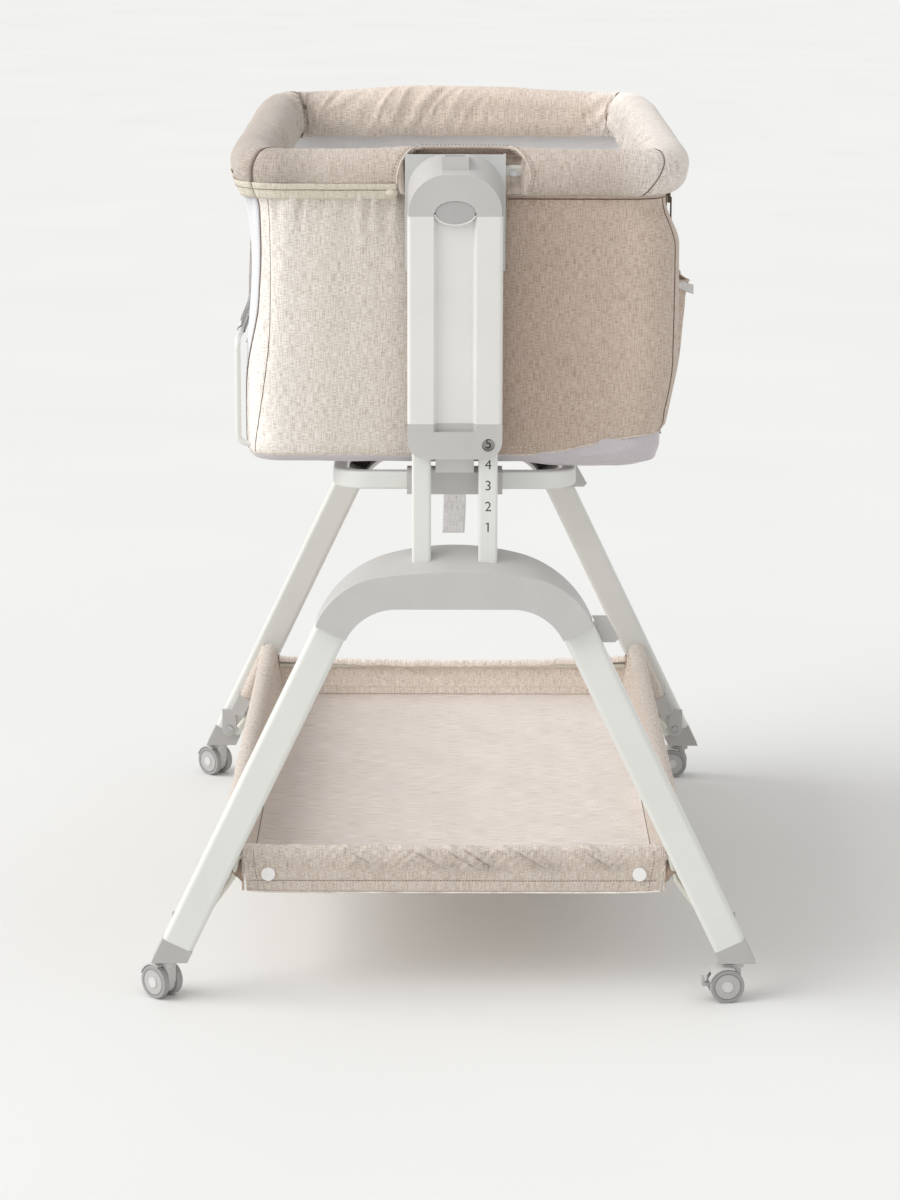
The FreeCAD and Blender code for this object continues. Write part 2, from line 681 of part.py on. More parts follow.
lean_out = cosine(leg_lean)
lean_up = sine(leg_lean)


def leg_outer(height):
    """Outer edge of a right leg at a height."""
    return foot_outer - (height - foot_base) * tangent(leg_lean)


def leg_middle(height):
    return leg_outer(height) - leg_width / (2 * lean_out)


def across_leg(height, inset):
    """A point on the seam that starts at the leg's outer edge, square to the leg."""
    return leg_outer(height) - inset * lean_out, height - inset * lean_up


def leg_outline(side, trim):
    """The leg between its two seams, trimmed by a wall at both long edges."""
    points = [
        across_leg(foot_joint, trim),
        across_leg(arch_joint, trim),
        across_leg(arch_joint, leg_width - trim),
        across_leg(foot_joint, leg_width - trim),
    ]
    return [(side * across, height) for across, height in points]


stem_across = leg_middle(foot_base)


def leg(along, across, end, side):
    name = corner_name(along, across, "leg")
    middle = end * leg_plane
    front = middle - leg_depth / 2
    tube = prism(name + "_tube", "XZ_Plane", leg_outline(side, as_size(0)), front, leg_depth)
    direction = Vector(-side * float(lean_up), 0, float(lean_out))
    round_tube = rounded_edges(name + "_round", tube, leg_round, runs_along(direction, 50))
    bore = prism(name + "_bore", "XZ_Plane", leg_outline(side, leg_wall),
                 front + leg_wall, leg_depth - 2 * leg_wall)
    hole_start = middle if end < 0 else middle - leg_depth
    hole = rod(name + "_hole", (side * leg_middle(lug_height), hole_start, lug_height),
               bolt_radius + press_gap, leg_depth, ALONG_Y)
    return keep(cut(name, round_tube, [bore, hole]), name)


def foot_cap(along, across, end, side):
    """A wedge that turns the leg's slant into a flat seat, with a plug up into the tube."""
    name = corner_name(along, across, "foot_cap")
    outline = [
        (side * leg_outer(foot_base), foot_base),
        (side * leg_outer(foot_joint), foot_joint),
        (side * across_leg(foot_joint, leg_width)[0], across_leg(foot_joint, leg_width)[1]),
        (side * (leg_outer(foot_base) - leg_width / lean_out), foot_base),
    ]
    front = end * leg_plane - leg_depth / 2
    wedge = prism(name + "_wedge", "XZ_Plane", outline, front, leg_depth)
    stem_hole = rod(name + "_hole", (side * stem_across, end * leg_plane, foot_base - 1),
                    stem_radius + running_gap, stem_reach + 2)
    return keep(cut(name, wedge, [stem_hole]), name)


CORNERS = [
    ("near", "left", -1, -1),
    ("near", "right", -1, 1),
    ("far", "left", 1, -1),
    ("far", "right", 1, 1),
]
for corner in CORNERS:
    leg(*corner)


def leg_plate(name):
    """A flat plate on the right leg's inner side at its seam, standing out past its outer edge."""
    top = arch_joint + plate_above
    low = top - plate_upright
    seam = arch_joint - plate_slack
    on_leg = arch_joint - plate_below
    return prism(name, "XZ_Plane", [
        (leg_outer(low) - plate_over, low),
        (leg_outer(low) + plate_beyond - plate_above, low),
        (leg_outer(low) + plate_beyond, low + plate_above),
        (leg_outer(top) + plate_beyond, top),
        (leg_outer(top) + plate_slack, top),
        (leg_outer(seam) + plate_slack, seam),
        (leg_outer(on_leg) - plate_over, on_leg),
    ], -leg_inner_face, plate_thickness)


near_plate = leg_plate("near_leg_plate")
far_plate = mirrored("far_leg_plate", near_plate, LENGTHWAYS)
keep(group("leg_plates", [near_plate, far_plate]), "leg_plates")
for corner in CORNERS:
    foot_cap(*corner)


# ---------------------------------------------------------------- end arches

def arch_outline(knee_across, knee_height, shoulder, crown):
    outer_x, outer_z = across_leg(arch_joint, as_size(0))
    inner_x, inner_z = across_leg(arch_joint, leg_width)
    return [
        (outer_x, outer_z, shoulder),
        (knee_across, knee_height, crown),
        (-knee_across, knee_height, shoulder),
        (-outer_x, outer_z),
        (-inner_x, inner_z, -arch_bend),
        (-arch_flat, arch_under),
        (arch_flat, arch_under, -arch_bend),
        (inner_x, inner_z),
    ]


def cell_outline(knee_across, knee_height, shoulder, crown):
    """The hollow of the arch's right shoulder, one wall inside its outline."""
    seam_x, seam_z = across_leg(arch_joint, arch_wall)
    under_x, under_z = across_leg(arch_joint, leg_width - arch_wall)
    shift_x = -2 * arch_wall * lean_up
    shift_z = 2 * arch_wall * lean_out
    crown_middle = knee_height - root(crown * crown - knee_across * knee_across)
    inside = crown - arch_wall
    crown_at_core = crown_middle + root(inside * inside - arch_core * arch_core)
    return [
        (seam_x + shift_x, seam_z + shift_z, shoulder - arch_wall),
        (knee_across - arch_wall / 4, knee_height - arch_wall, inside),
        (arch_core, crown_at_core),
        (arch_core, arch_under + arch_wall),
        (arch_flat, arch_under + arch_wall, -(arch_bend + arch_wall)),
        (under_x + shift_x, under_z + shift_z),
    ]


def rib(name, start, angle):
    """A thin upright wall across the arch's hollow, from a point at an angle."""
    thing = doc.addObject("Part::Box", name)
    bind(thing, "Length", arch_core * 3)
    bind(thing, "Width", arch_depth)
    bind(thing, "Height", rib_thickness)
    return put(thing, start[0], -(arch_inner_face + arch_depth), start[1], Vector(0, -1, 0), angle)


back_edge = (back_knee_across, back_knee_height, back_shoulder, back_crown)
front_edge = (front_knee_across, front_knee_height, front_shoulder, front_crown)
arch_front = -(arch_inner_face + arch_depth)
arch_skin = lofted("arch_skin", "XZ_Plane", [
    (arch_front, arch_outline(*front_edge)),
    (-arch_inner_face, arch_outline(*back_edge)),
])
arch_hollow = lofted("arch_hollow", "XZ_Plane", [
    (arch_front + arch_wall, cell_outline(*front_edge)),
    (-arch_inner_face, cell_outline(*back_edge)),
])
arch_ribs = [
    rib("rib_low", (arch_core, arch_under - arch_wall), low_rib_turn),
    rib("rib_mid", (arch_core + leg_width, arch_under - 3 * arch_wall), mid_rib_turn),
    rib("rib_down", (arch_core - arch_wall, back_knee_height - arch_wall), -high_rib_fall),
    rib("rib_fall", (arch_core + leg_width / 2, back_knee_height + 3 * arch_wall), -outer_rib_fall),
]
right_cells = cut("right_cells", arch_hollow, arch_ribs)
left_cells = mirrored("left_cells", right_cells, ACROSS)


def rail_block(name, side, slack, low, height):
    """The space of one rail, or its bore with some slack."""
    return prism(
        name, "XY_Plane",
        rounded_rectangle(rail_width / 2 + slack, rail_depth / 2 + slack, rail_round,
                          (side * rail_across, -rail_plane)),
        low, height)


rail_slots = [
    rail_block("rail_slot_left", -1, press_gap, rail_foot, rail_top - rail_foot),
    rail_block("rail_slot_right", 1, press_gap, rail_foot, rail_top - rail_foot),
]
near_arch = cut("near_arch", arch_skin, [right_cells, left_cells] + rail_slots)
keep_pair(near_arch, "arch")


# ---------------------------------------------------------------- rails

def rail(name, side):
    outer = rail_block(name + "_outer", side, as_size(0), rail_foot, rail_top - rail_foot)
    bore = prism(
        name + "_bore", "XY_Plane",
        rounded_rectangle(rail_width / 2 - rail_wall, rail_depth / 2 - rail_wall,
                          rail_round - rail_wall, (side * rail_across, -rail_plane)),
        rail_foot, rail_top - rail_foot)
    return cut(name, outer, [bore])


keep_pair(group("near_rails", [rail("rail_left", -1), rail("rail_right", 1)]), "rails")


# ---------------------------------------------------------------- post sleeves

post_middle = -(post_front - post_depth / 2)
bore_top = rail_top + travel + 10 * sliding_gap
rail_bores = [
    rail_block("post_bore_left", -1, sliding_gap, post_foot - 1, bore_top - post_foot + 1),
    rail_block("post_bore_right", 1, sliding_gap, post_foot - 1, bore_top - post_foot + 1),
]
channel = prism("post_channel", "XY_Plane", [
    (-channel_mouth, -(post_front + 1)),
    (channel_mouth, -(post_front + 1)),
    (channel_floor, -(post_front - channel_depth)),
    (-channel_floor, -(post_front - channel_depth)),
], post_foot + channel_foot, button_height - post_foot - channel_foot)


def oval(name, slack, start, depth):
    """An elliptical plug along the crib, round the height button's middle."""
    face = doc.addObject("Part::Ellipse", name + "_edge")
    bind(face, "MajorRadius", button_half + slack)
    bind(face, "MinorRadius", button_rise + slack)
    put(face, 0, start, button_height, Vector(1, 0, 0), 90)
    plug = doc.addObject("Part::Extrusion", name)
    plug.Base = face
    plug.DirMode = "Custom"
    plug.Dir = LENGTHWAYS
    plug.Solid = True
    bind(plug, "LengthFwd", depth)
    return plug


button_face = -(post_front - button_sunk)
button_room = oval("button_room", sliding_gap, -(post_front + 1), button_depth + button_travel + 8 * sliding_gap)
sleeve_block = prism("sleeve_block", "XY_Plane",
                     rounded_rectangle(post_half, post_depth / 2, post_round, (0, post_middle)),
                     post_body_low, post_body_high - post_body_low)
near_sleeve = cut("near_post_sleeve", sleeve_block, rail_bores + [channel, button_room])
keep_pair(near_sleeve, "post_sleeve")

bottom_block = prism("bottom_block", "XZ_Plane", [
    (post_half - post_corner, post_foot, post_corner),
    (post_half, post_foot + post_corner),
    (post_half, post_body_low),
    (-post_half, post_body_low),
    (-post_half, post_foot + post_corner, post_corner),
    (-(post_half - post_corner), post_foot),
], -post_front, post_depth)
number_window = rod("number_window", (rail_across, -(post_front + 1), post_foot + window_above),
                    window_radius, post_front - rail_plane, ALONG_Y)
near_bottom = cut("near_post_bottom_cap", bottom_block, rail_bores + [channel, number_window])
keep_pair(near_bottom, "post_bottom_cap")


def cap_outline(inset, side_height, top_height, corner_radius):
    """Flat foot, upright sides and a broad rounded top."""
    half = post_half - inset
    return [
        (half, post_body_high),
        (half, side_height, corner_radius),
        (cap_top_half, top_height),
        (-cap_top_half, top_height, corner_radius),
        (-half, side_height),
        (-half, post_body_high),
    ]


cap_block = lofted("cap_block", "XZ_Plane", [
    (-post_front, cap_outline(cap_face_inset, post_top - cap_face_side,
                              post_top - cap_face_drop, cap_face_corner)),
    (-post_inner, cap_outline(as_size(0), post_top - cap_back_side, post_top, cap_back_corner)),
])
lip_half = socket_half + socket_lip
lip_front = -(post_front - socket_setback)
socket_floor = post_top - socket_depth
socket_block = box("socket_block", -lip_half, lip_front, socket_floor - socket_lip,
                   2 * lip_half, socket_length + 2 * socket_lip, socket_depth + socket_lip)
socket_room = box("socket_room", -socket_half, lip_front + socket_lip, socket_floor,
                  2 * socket_half, socket_length, 2 * socket_depth)
cap_with_lip = joined_shapes("cap_with_lip", [cap_block, socket_block])
near_top_cap = cut("near_post_top_cap", cap_with_lip,
                   rail_bores + [channel, button_room, socket_room])
keep_pair(near_top_cap, "post_top_cap")

near_button = oval("near_height_button", as_size(0), button_face, button_depth)
keep_pair(near_button, "height_button")


# ---------------------------------------------------------------- rim tube, pads and brackets

def rim_sweep(name, section_half_height, section_half_depth, round_radius):
    """A closed loop along the rim's middle line, with a rounded rectangular section."""
    half_x = float(rim_half_width)
    half_y = float(rim_half_length)
    radius = float(rim_corner)
    height = float(rim_height)
    diagonal = radius * (1 - math.sqrt(0.5))
    edges = []
    for sign_x, sign_y in ((1, 1), (-1, 1), (-1, -1), (1, -1)):
        side = Vector(sign_x * half_x, sign_y * (half_y - radius), height)
        end = Vector(sign_x * (half_x - radius), sign_y * half_y, height)
        via = Vector(sign_x * (half_x - diagonal), sign_y * (half_y - diagonal), height)
        first, last = (side, end) if sign_x * sign_y > 0 else (end, side)
        if edges:
            edges.append(Part.LineSegment(edges[-1].Vertexes[-1].Point, first).toShape())
        edges.append(Part.Arc(first, via, last).toShape())
    edges.append(Part.LineSegment(edges[-1].Vertexes[-1].Point,
                                  edges[0].Vertexes[0].Point).toShape())
    loop = Part.Wire(edges)
    start = loop.Edges[0].Vertexes[0].Point
    if round_radius is None:
        circle = Part.Circle(start, Vector(0, 1, 0), float(section_half_height))
        section = Part.Wire(circle.toShape())
    else:
        tall = float(section_half_height)
        deep = float(section_half_depth)
        bend = float(round_radius)
        plane = Part.makePlane(2 * deep, 2 * tall, Vector(-deep, -tall, 0))
        slab = plane.extrude(Vector(0, 0, 1))
        uprights = [edge for edge in slab.Edges if abs(edge.tangentAt(0).z) > 0.9]
        slab = slab.makeFillet(bend, uprights)
        face = next(face for face in slab.Faces if abs(face.CenterOfMass.z) < 1e-6)
        section = face.OuterWire
        section.Placement = Placement(start, Rotation(Vector(1, 0, 0), 90))
    thing = doc.addObject("Part::Feature", name)
    thing.Shape = loop.makePipeShell([section], True, False)
    return thing


split_reach = rim_corner + 4 * pad_radius


def drop_outline(slack):
    """Plan of the drop side's rim, up to the radial seams in its two corners."""
    start_x = -(rim_half_width - rim_corner + slack * cosine(rim_split_turn))
    start_y = rim_half_length - rim_corner - slack * sine(rim_split_turn)
    out_x = start_x - split_reach * sine(rim_split_turn)
    out_y = start_y + split_reach * cosine(rim_split_turn)
    return [(start_x, -start_y), (start_x, start_y), (out_x, out_y), (out_x, -out_y)]


def drop_room(name, slack):
    """The space of the drop side's rim, less some slack at its seams."""
    return prism(name, "XY_Plane", drop_outline(slack),
                 rim_height - 2 * pad_radius, 4 * pad_radius)


tube_half_height = rim_tube_height / 2
tube_half_depth = rim_tube_depth / 2
rim_loop = rim_sweep("rim_loop", tube_half_height, tube_half_depth, rim_tube_round)
tube_room = rim_sweep("tube_room", tube_half_height + soft_gap, tube_half_depth + soft_gap,
                      rim_tube_round)
pad_loop = rim_sweep("pad_loop", pad_radius, None, None)

post_notches = []
screw_holes = []
screws = []
tube_front = rim_half_length + tube_half_depth
for end, word in ((-1, "near"), (1, "far")):
    notch_low = rim_height - pad_radius + notch_lip
    inner_skin = rim_half_length - pad_radius + notch_skin
    low_y = -(rim_half_length + 2 * pad_radius) if end < 0 else inner_skin
    post_notches.append(box(f"{word}_notch", -notch_half, low_y, notch_low,
                            2 * notch_half, rim_half_length + 2 * pad_radius - inner_skin,
                            3 * pad_radius))
    for side, hand in ((-1, "left"), (1, "right")):
        name = f"{word}_{hand}_screw"
        inner_y = -tube_front if end < 0 else tube_front - rim_tube_depth
        screw_holes.append(rod(name + "_hole", (side * screw_across, inner_y, rim_height),
                               screw_radius + press_gap, rim_tube_depth, ALONG_Y))
        shank_y = -tube_front - 0.4 if end < 0 else tube_front - rim_tube_depth + 0.4
        shank = rod(name + "_shank", (side * screw_across, shank_y, rim_height),
                    screw_radius, rim_tube_depth, ALONG_Y)
        head_y = -(tube_front + screw_head_height) if end < 0 else tube_front
        head = rod(name + "_head", (side * screw_across, head_y, rim_height),
                   screw_head, screw_head_height, ALONG_Y)
        screws.append(joined_shapes(name, [shank, head]))

keep(cut("rim_tube", rim_loop, screw_holes + [drop_room("tube_clear", -rim_split_gap / 2)]),
     "rim_tube")
keep(common("drop_rim_tube", rim_loop, drop_room("tube_share", rim_split_gap / 2)),
     "drop_rim_tube")
keep(group("rim_screws", screws), "rim_screws")
hollow_pad = cut("hollow_pad", pad_loop, [tube_room])
keep(cut("rim_pad", hollow_pad, post_notches + [drop_room("pad_clear", -rim_split_gap / 2)]),
     "rim_pad")
keep(common("drop_rim_pad", hollow_pad, drop_room("pad_share", rim_split_gap / 2)),
     "drop_rim_pad")

bracket_front = -post_inner
saddle_low = rim_height - tube_half_height - press_gap - saddle_wall
saddle_height = rim_tube_height + 2 * press_gap + 2 * saddle_wall
saddle_back = -(rim_half_length - tube_half_depth - press_gap - saddle_wall)
saddle = box("saddle", -saddle_half, bracket_front, saddle_low,
             2 * saddle_half, saddle_back - bracket_front, saddle_height)
tube_bore = box("tube_bore", -saddle_half - 1, -(tube_front + press_gap),
                rim_height - tube_half_height - press_gap,
                2 * saddle_half + 2, rim_tube_depth + 2 * press_gap,
                rim_tube_height + 2 * press_gap)
plate = box("bracket_plate", -saddle_half, bracket_front, plate_low,
            2 * saddle_half, plate_wall, plate_length)
flanges = [
    box("flange_left", -saddle_half, bracket_front, plate_low,
        plate_wall, plate_flange, plate_length),
    box("flange_right", saddle_half - plate_wall, bracket_front, plate_low,
        plate_wall, plate_flange, plate_length),
]
bracket_body = joined_shapes("bracket_body", [saddle, plate] + flanges)
keep_pair(cut("near_rim_bracket", bracket_body, [tube_bore]), "rim_bracket")


# ---------------------------------------------------------------- basket walls and drop side

wall_block = prism("wall_block", "XY_Plane",
                   rounded_rectangle(wall_half_width, wall_half_length, wall_corner),
                   wall_low, wall_high - wall_low)
wall_room = prism("wall_room", "XY_Plane",
                  rounded_rectangle(wall_half_width - cloth_wall, wall_half_length - cloth_wall,
                                    wall_corner - cloth_wall),
                  wall_low - 1, wall_high - wall_low + 2)
drop_opening = box("drop_opening", -(wall_half_width + 10), -window_half, barrier_top,
                   2 * cloth_wall + 12, 2 * window_half, wall_high)
bar_foot = board_height + board_wall / 2
bar_holes = [
    rod("bar_hole_near", (-(wall_half_width + 10), -bar_half, bar_foot),
        bar_radius + soft_gap, wall_corner, ALONG_X),
    rod("bar_hole_far", (-(wall_half_width + 10), bar_half, bar_foot),
        bar_radius + soft_gap, wall_corner, ALONG_X),
]
keep(cut("basket_walls", wall_block, [wall_room, drop_opening] + bar_holes), "basket_walls")

bar_inner = wall_half_width - bar_root
keep(piped("guard_bar", [
    (-bar_inner, -bar_half, bar_foot),
    (-bar_across, -bar_half, bar_foot),
    (-bar_across, -bar_half, bar_height),
    (-bar_across, bar_half, bar_height),
    (-bar_across, bar_half, bar_foot),
    (-bar_inner, bar_half, bar_foot),
], bar_bend, bar_radius), "guard_bar")

mesh_across = wall_half_width - mesh_inset
mesh_low = bar_height + bar_radius + soft_gap
mesh_half = window_half - mesh_margin
mesh_sheet = box("mesh_sheet", -mesh_across, -mesh_half, mesh_low,
                 mesh_wall, 2 * mesh_half, wall_high - mesh_low)
loop_radius = bar_radius + soft_gap + loop_wall
hinge_loop = rod("hinge_loop", (-bar_across, -loop_half, bar_height),
                 loop_radius, 2 * loop_half, ALONG_Y)
loop_web = box("loop_web", -bar_across, -loop_half, bar_height + loop_radius - loop_wall,
               bar_across - mesh_across + mesh_wall, 2 * loop_half, loop_wall)
loop_bore = rod("loop_bore", (-bar_across, -(loop_half + 1), bar_height),
                bar_radius + soft_gap, 2 * loop_half + 2, ALONG_Y)
drop_panel = joined_shapes("drop_panel", [mesh_sheet, hinge_loop, loop_web])
keep(cut("drop_mesh_panel", drop_panel, [loop_bore]), "drop_mesh_panel")


# ---------------------------------------------------------------- floor, mattress and cover

board_half_width = wall_half_width - cloth_wall - soft_gap
board_half_length = wall_half_length - cloth_wall - soft_gap
board_corner = wall_corner - cloth_wall
board_block = prism("board_block", "XY_Plane",
                    rounded_rectangle(board_half_width, board_half_length, board_corner),
                    board_height, board_wall)
bar_sockets = [
    rod("bar_socket_near", (-(wall_half_width + 10), -bar_half, bar_foot),
        bar_radius + press_gap, wall_half_width + 10 - bar_inner + 1, ALONG_X),
    rod("bar_socket_far", (-(wall_half_width + 10), bar_half, bar_foot),
        bar_radius + press_gap, wall_half_width + 10 - bar_inner + 1, ALONG_X),
]
keep(cut("floor_board", board_block, bar_sockets), "floor_board")

bed_low = board_height + board_wall + soft_gap


def bed_section(height, inset):
    return bed_low + height, rounded_rectangle(
        board_half_width - mattress_margin - inset, board_half_length - mattress_margin - inset,
        mattress_corner)


keep(lofted("mattress", "XY_Plane", [
    bed_section(as_size(0), mattress_foot),
    bed_section(mattress_edge / 2, as_size(0)),
    bed_section(mattress_edge, mattress_turn),
    bed_section(mattress_height - crown_ease, crown_start),
    bed_section(mattress_height, crown_flat),
]), "mattress")


def cover_section(drop, inset):
    return board_height - drop, rounded_rectangle(
        board_half_width - inset, board_half_length - inset, cover_corner)


keep(lofted("bottom_cover", "XY_Plane", [
    cover_section(cover_drop, cover_flat),
    cover_section(cover_drop * 4 / 5, cover_turn),
    cover_section(cover_drop * 2 / 5, cover_edge),
    cover_section(as_size(0), as_size(0)),
]), "bottom_cover")


# ---------------------------------------------------------------- side pocket and zip

pocket_back = wall_half_width + soft_gap
pocket_low = wall_low + pocket_above


def pocket_outline(stand, inset):
    """Plan of the pocket: flat against the wall, bowed outwards between its ends."""
    near = -(pocket_near - inset)
    far = -(pocket_far + inset)
    return [
        (pocket_back + inset, near),
        (pocket_back + inset + pocket_edge, near),
        (pocket_back + stand - inset, near + pocket_slope),
        (pocket_back + stand - inset, far - pocket_slope),
        (pocket_back + inset + pocket_edge, far),
        (pocket_back + inset, far),
    ]


pocket_skin = lofted("pocket_skin", "XY_Plane", [
    (pocket_low, pocket_outline(pocket_foot, as_size(0))),
    (pocket_low + pocket_height, pocket_outline(pocket_bulge, as_size(0))),
])
pocket_room = lofted("pocket_room", "XY_Plane", [
    (pocket_low + pocket_wall, pocket_outline(pocket_foot, pocket_wall * 0.8)),
    (pocket_low + pocket_height + 0.1, pocket_outline(pocket_bulge, pocket_wall)),
])
keep(cut("side_pocket", pocket_skin, [pocket_room]), "side_pocket")

slider_back = wall_half_width + soft_gap
slider_top = wall_high - 1
slider_block = box("slider_block", slider_back, -zip_along, slider_top - slider_height,
                   slider_depth, slider_length, slider_height)
slider_pull = box("slider_pull", slider_back + slider_depth,
                  -zip_along + (slider_length - pull_width) / 2,
                  slider_top - slider_height / 2 - pull_length,
                  pull_wall, pull_width, pull_length)
keep(joined_shapes("zip_slider", [slider_block, slider_pull]), "zip_slider")


# ---------------------------------------------------------------- lower ring, clamps and strap

ring_middle = ring_half_width - ring_radius
ring_points = [
    (0, -ring_half_length, ring_height),
    (ring_middle, -ring_half_length, ring_height),
    (ring_middle, ring_half_length, ring_height),
    (-ring_middle, ring_half_length, ring_height),
    (-ring_middle, -ring_half_length, ring_height),
    (-0.01, -ring_half_length, ring_height),
]
keep(piped("base_ring", ring_points, ring_corner, ring_radius), "base_ring")

clamp_back = -(ring_half_length - clamp_inner)
clamp_block = box("clamp_block", -clamp_half, -clamp_front, 2 * ring_height - clamp_high,
                  2 * clamp_half, clamp_back + clamp_front, 2 * (clamp_high - ring_height))
clamp_bore = rod("clamp_bore", (-clamp_half - 1, -ring_half_length, ring_height),
                 ring_radius + press_gap, 2 * clamp_half + 2, ALONG_X)
near_clamp = cut("near_ring_clamp", clamp_block, [clamp_bore])
hanger_back = -(clamp_front - hanger_depth)
hanger_high = post_foot + hanger_reach
hanger_arm = box("hanger_arm", -hanger_half, -clamp_front, clamp_high,
                 2 * hanger_half, hanger_depth, hanger_high - clamp_high)
hanger_head = box("hanger_head", -hanger_half, bracket_front, post_foot + hanger_step,
                  2 * hanger_half, hanger_back - bracket_front, hanger_reach - hanger_step)
near_hanger = joined_shapes("near_hanger", [hanger_arm, hanger_head])
far_clamp = mirrored("far_ring_clamp", near_clamp, LENGTHWAYS)
far_hanger = mirrored("far_hanger", near_hanger, LENGTHWAYS)
keep(group("ring_brackets", [near_clamp, near_hanger, far_clamp, far_hanger]), "ring_brackets")

strap_top = board_height - cover_drop
keep(box("bed_strap", -strap_width / 2, strap_along, strap_top - strap_length,
         strap_width, strap_wall, strap_length), "bed_strap")


# ---------------------------------------------------------------- storage tray

def tray_outline(half):
    return rounded_rectangle(half, tray_half_length, tray_corner)


def tray_inside(half):
    return rounded_rectangle(half - tray_wall, tray_half_length - tray_hem,
                             tray_corner - tray_wall)


tray_skin = lofted("tray_skin", "XY_Plane", [
    (tray_low, tray_outline(tray_half)),
    (tray_high, tray_outline(tray_top_half)),
])
tray_room = lofted("tray_room", "XY_Plane", [
    (tray_low + tray_floor, tray_inside(tray_half)),
    (tray_high + 0.1, tray_inside(tray_top_half)),
])
wire_bores = []
for end, word in ((-1, "near"), (1, "far")):
    wire_bores.append(rod(f"{word}_wire_bore", (-tray_top_half - 5, end * wire_plane, wire_height),
                          wire_radius + soft_gap, 2 * tray_top_half + 10, ALONG_X))
tube_foot = (leg_middle(clip_height), clip_height)
tube_knee = (leg_middle(side_tube_height), side_tube_height)
hem_half = side_tube_plane - hem_inset
side_hems = []
side_bores = []
for side, hand in ((-1, "left"), (1, "right")):
    run_start = (side * tube_knee[0], -hem_half, side_tube_height)
    hem_round = rod(f"{hand}_hem_round", run_start, side_tube_radius + side_hem,
                    2 * hem_half, ALONG_Y)
    hem_web = prism(f"{hand}_hem_web", "XZ_Plane", [
        (side * (tray_top_half - tray_wall), tray_high - tray_wall),
        (side * tray_top_half, tray_high - tray_wall),
        (side * (tube_knee[0] + side_tube_radius), side_tube_height - side_tube_radius),
        (side * (tube_knee[0] - side_tube_radius), side_tube_height),
    ], -hem_half, 2 * hem_half)
    side_hems += [hem_round, hem_web]
    side_bores.append(rod(f"{hand}_hem_bore", (run_start[0], -hem_half - 1, side_tube_height),
                          side_tube_radius + soft_gap, 2 * hem_half + 2, ALONG_Y))
tray_blank = joined_shapes("tray_blank", [tray_skin] + side_hems)
keep(cut("storage_tray", tray_blank, [tray_room] + wire_bores + side_bores), "storage_tray")

side_path = [
    (tube_foot[0], -side_tube_plane, tube_foot[1]),
    (tube_knee[0], -side_tube_plane, tube_knee[1]),
    (tube_knee[0], side_tube_plane, tube_knee[1]),
    (tube_foot[0], side_tube_plane, tube_foot[1]),
]
right_tube = piped("right_tray_tube", side_path, side_tube_bend, side_tube_radius)
keep(mirrored("left_tray_tube", right_tube, ACROSS), "left_tray_tube")
keep(right_tube, "right_tray_tube")

wire_end = leg_middle(lug_height) - lug_radius - wire_radius
wire_turn = tray_top_half + 3 * wire_radius
wire_path = [
    (-wire_end, -wire_plane, lug_height + wire_radius),
    (-wire_turn, -wire_plane, wire_height - wire_drop),
    (-wire_turn + 2 * wire_radius, -wire_plane, wire_height),
    (wire_turn - 2 * wire_radius, -wire_plane, wire_height),
    (wire_turn, -wire_plane, wire_height - wire_drop),
    (wire_end, -wire_plane, lug_height + wire_radius),
]
keep_pair(piped("near_tray_wire", wire_path, 2 * wire_radius, wire_radius), "tray_wire")

def clip(name):
    """A fork round the tube's end, with a flat lug bolted against the leg: near right corner."""
    block = doc.addObject("Part::Box", name + "_block")
    bind(block, "Length", clip_width)
    bind(block, "Width", clip_depth)
    bind(block, "Height", clip_length)
    start_x = leg_middle(clip_height) - clip_width / 2 * lean_out
    start_z = clip_height - clip_width / 2 * lean_up
    put(block, start_x, -clip_plane, start_z, Vector(0, 1, 0), -leg_lean.number)
    lug = rod(name + "_lug", (leg_middle(lug_height), -clip_plane, lug_height),
              lug_radius, lug_depth, ALONG_Y)
    neck = box(name + "_neck", leg_middle(lug_height) - clip_width / 2, -clip_plane, lug_height,
               clip_width, lug_depth, clip_height - lug_height + 4)
    return joined_shapes(name, [block, lug, neck])


clip_bolt_hole = rod("clip_bolt_hole", (leg_middle(lug_height), -leg_plane, lug_height),
                     bolt_radius + press_gap, leg_depth + clip_depth, ALONG_Y)
tube_socket = rod("tube_socket", (0, 0, 0), side_tube_radius + press_gap, clip_length + 10)
put(tube_socket, tube_foot[0], -side_tube_plane, tube_foot[1], Vector(0, 1, 0), -leg_lean.number)
near_right_clip = cut("near_right_clip", clip("clip_blank"), [clip_bolt_hole, tube_socket])
near_left_clip = mirrored("near_left_clip", near_right_clip, ACROSS)
near_clips = [near_right_clip, near_left_clip]
far_clips = [mirrored(f"far_clip_{index}", near, LENGTHWAYS)
             for index, near in enumerate(near_clips)]
keep(group("tray_clips", near_clips + far_clips), "tray_clips")

bolt_seat = clip_plane - lug_depth
bolt_shank = rod("bolt_shank", (leg_middle(lug_height), -(leg_inner_face + bolt_reach), lug_height),
                 bolt_radius, bolt_reach + lug_depth + 1, ALONG_Y)
bolt_cap = rod("bolt_cap", (leg_middle(lug_height), -bolt_seat, lug_height),
               bolt_head, bolt_head_height, ALONG_Y)
near_right_bolt = joined_shapes("near_right_bolt", [bolt_shank, bolt_cap])
near_left_bolt = mirrored("near_left_bolt", near_right_bolt, ACROSS)
near_bolts = [near_right_bolt, near_left_bolt]
far_bolts = [mirrored(f"far_bolt_{index}", near, LENGTHWAYS)
             for index, near in enumerate(near_bolts)]
keep(group("tray_bolts", near_bolts + far_bolts), "tray_bolts")

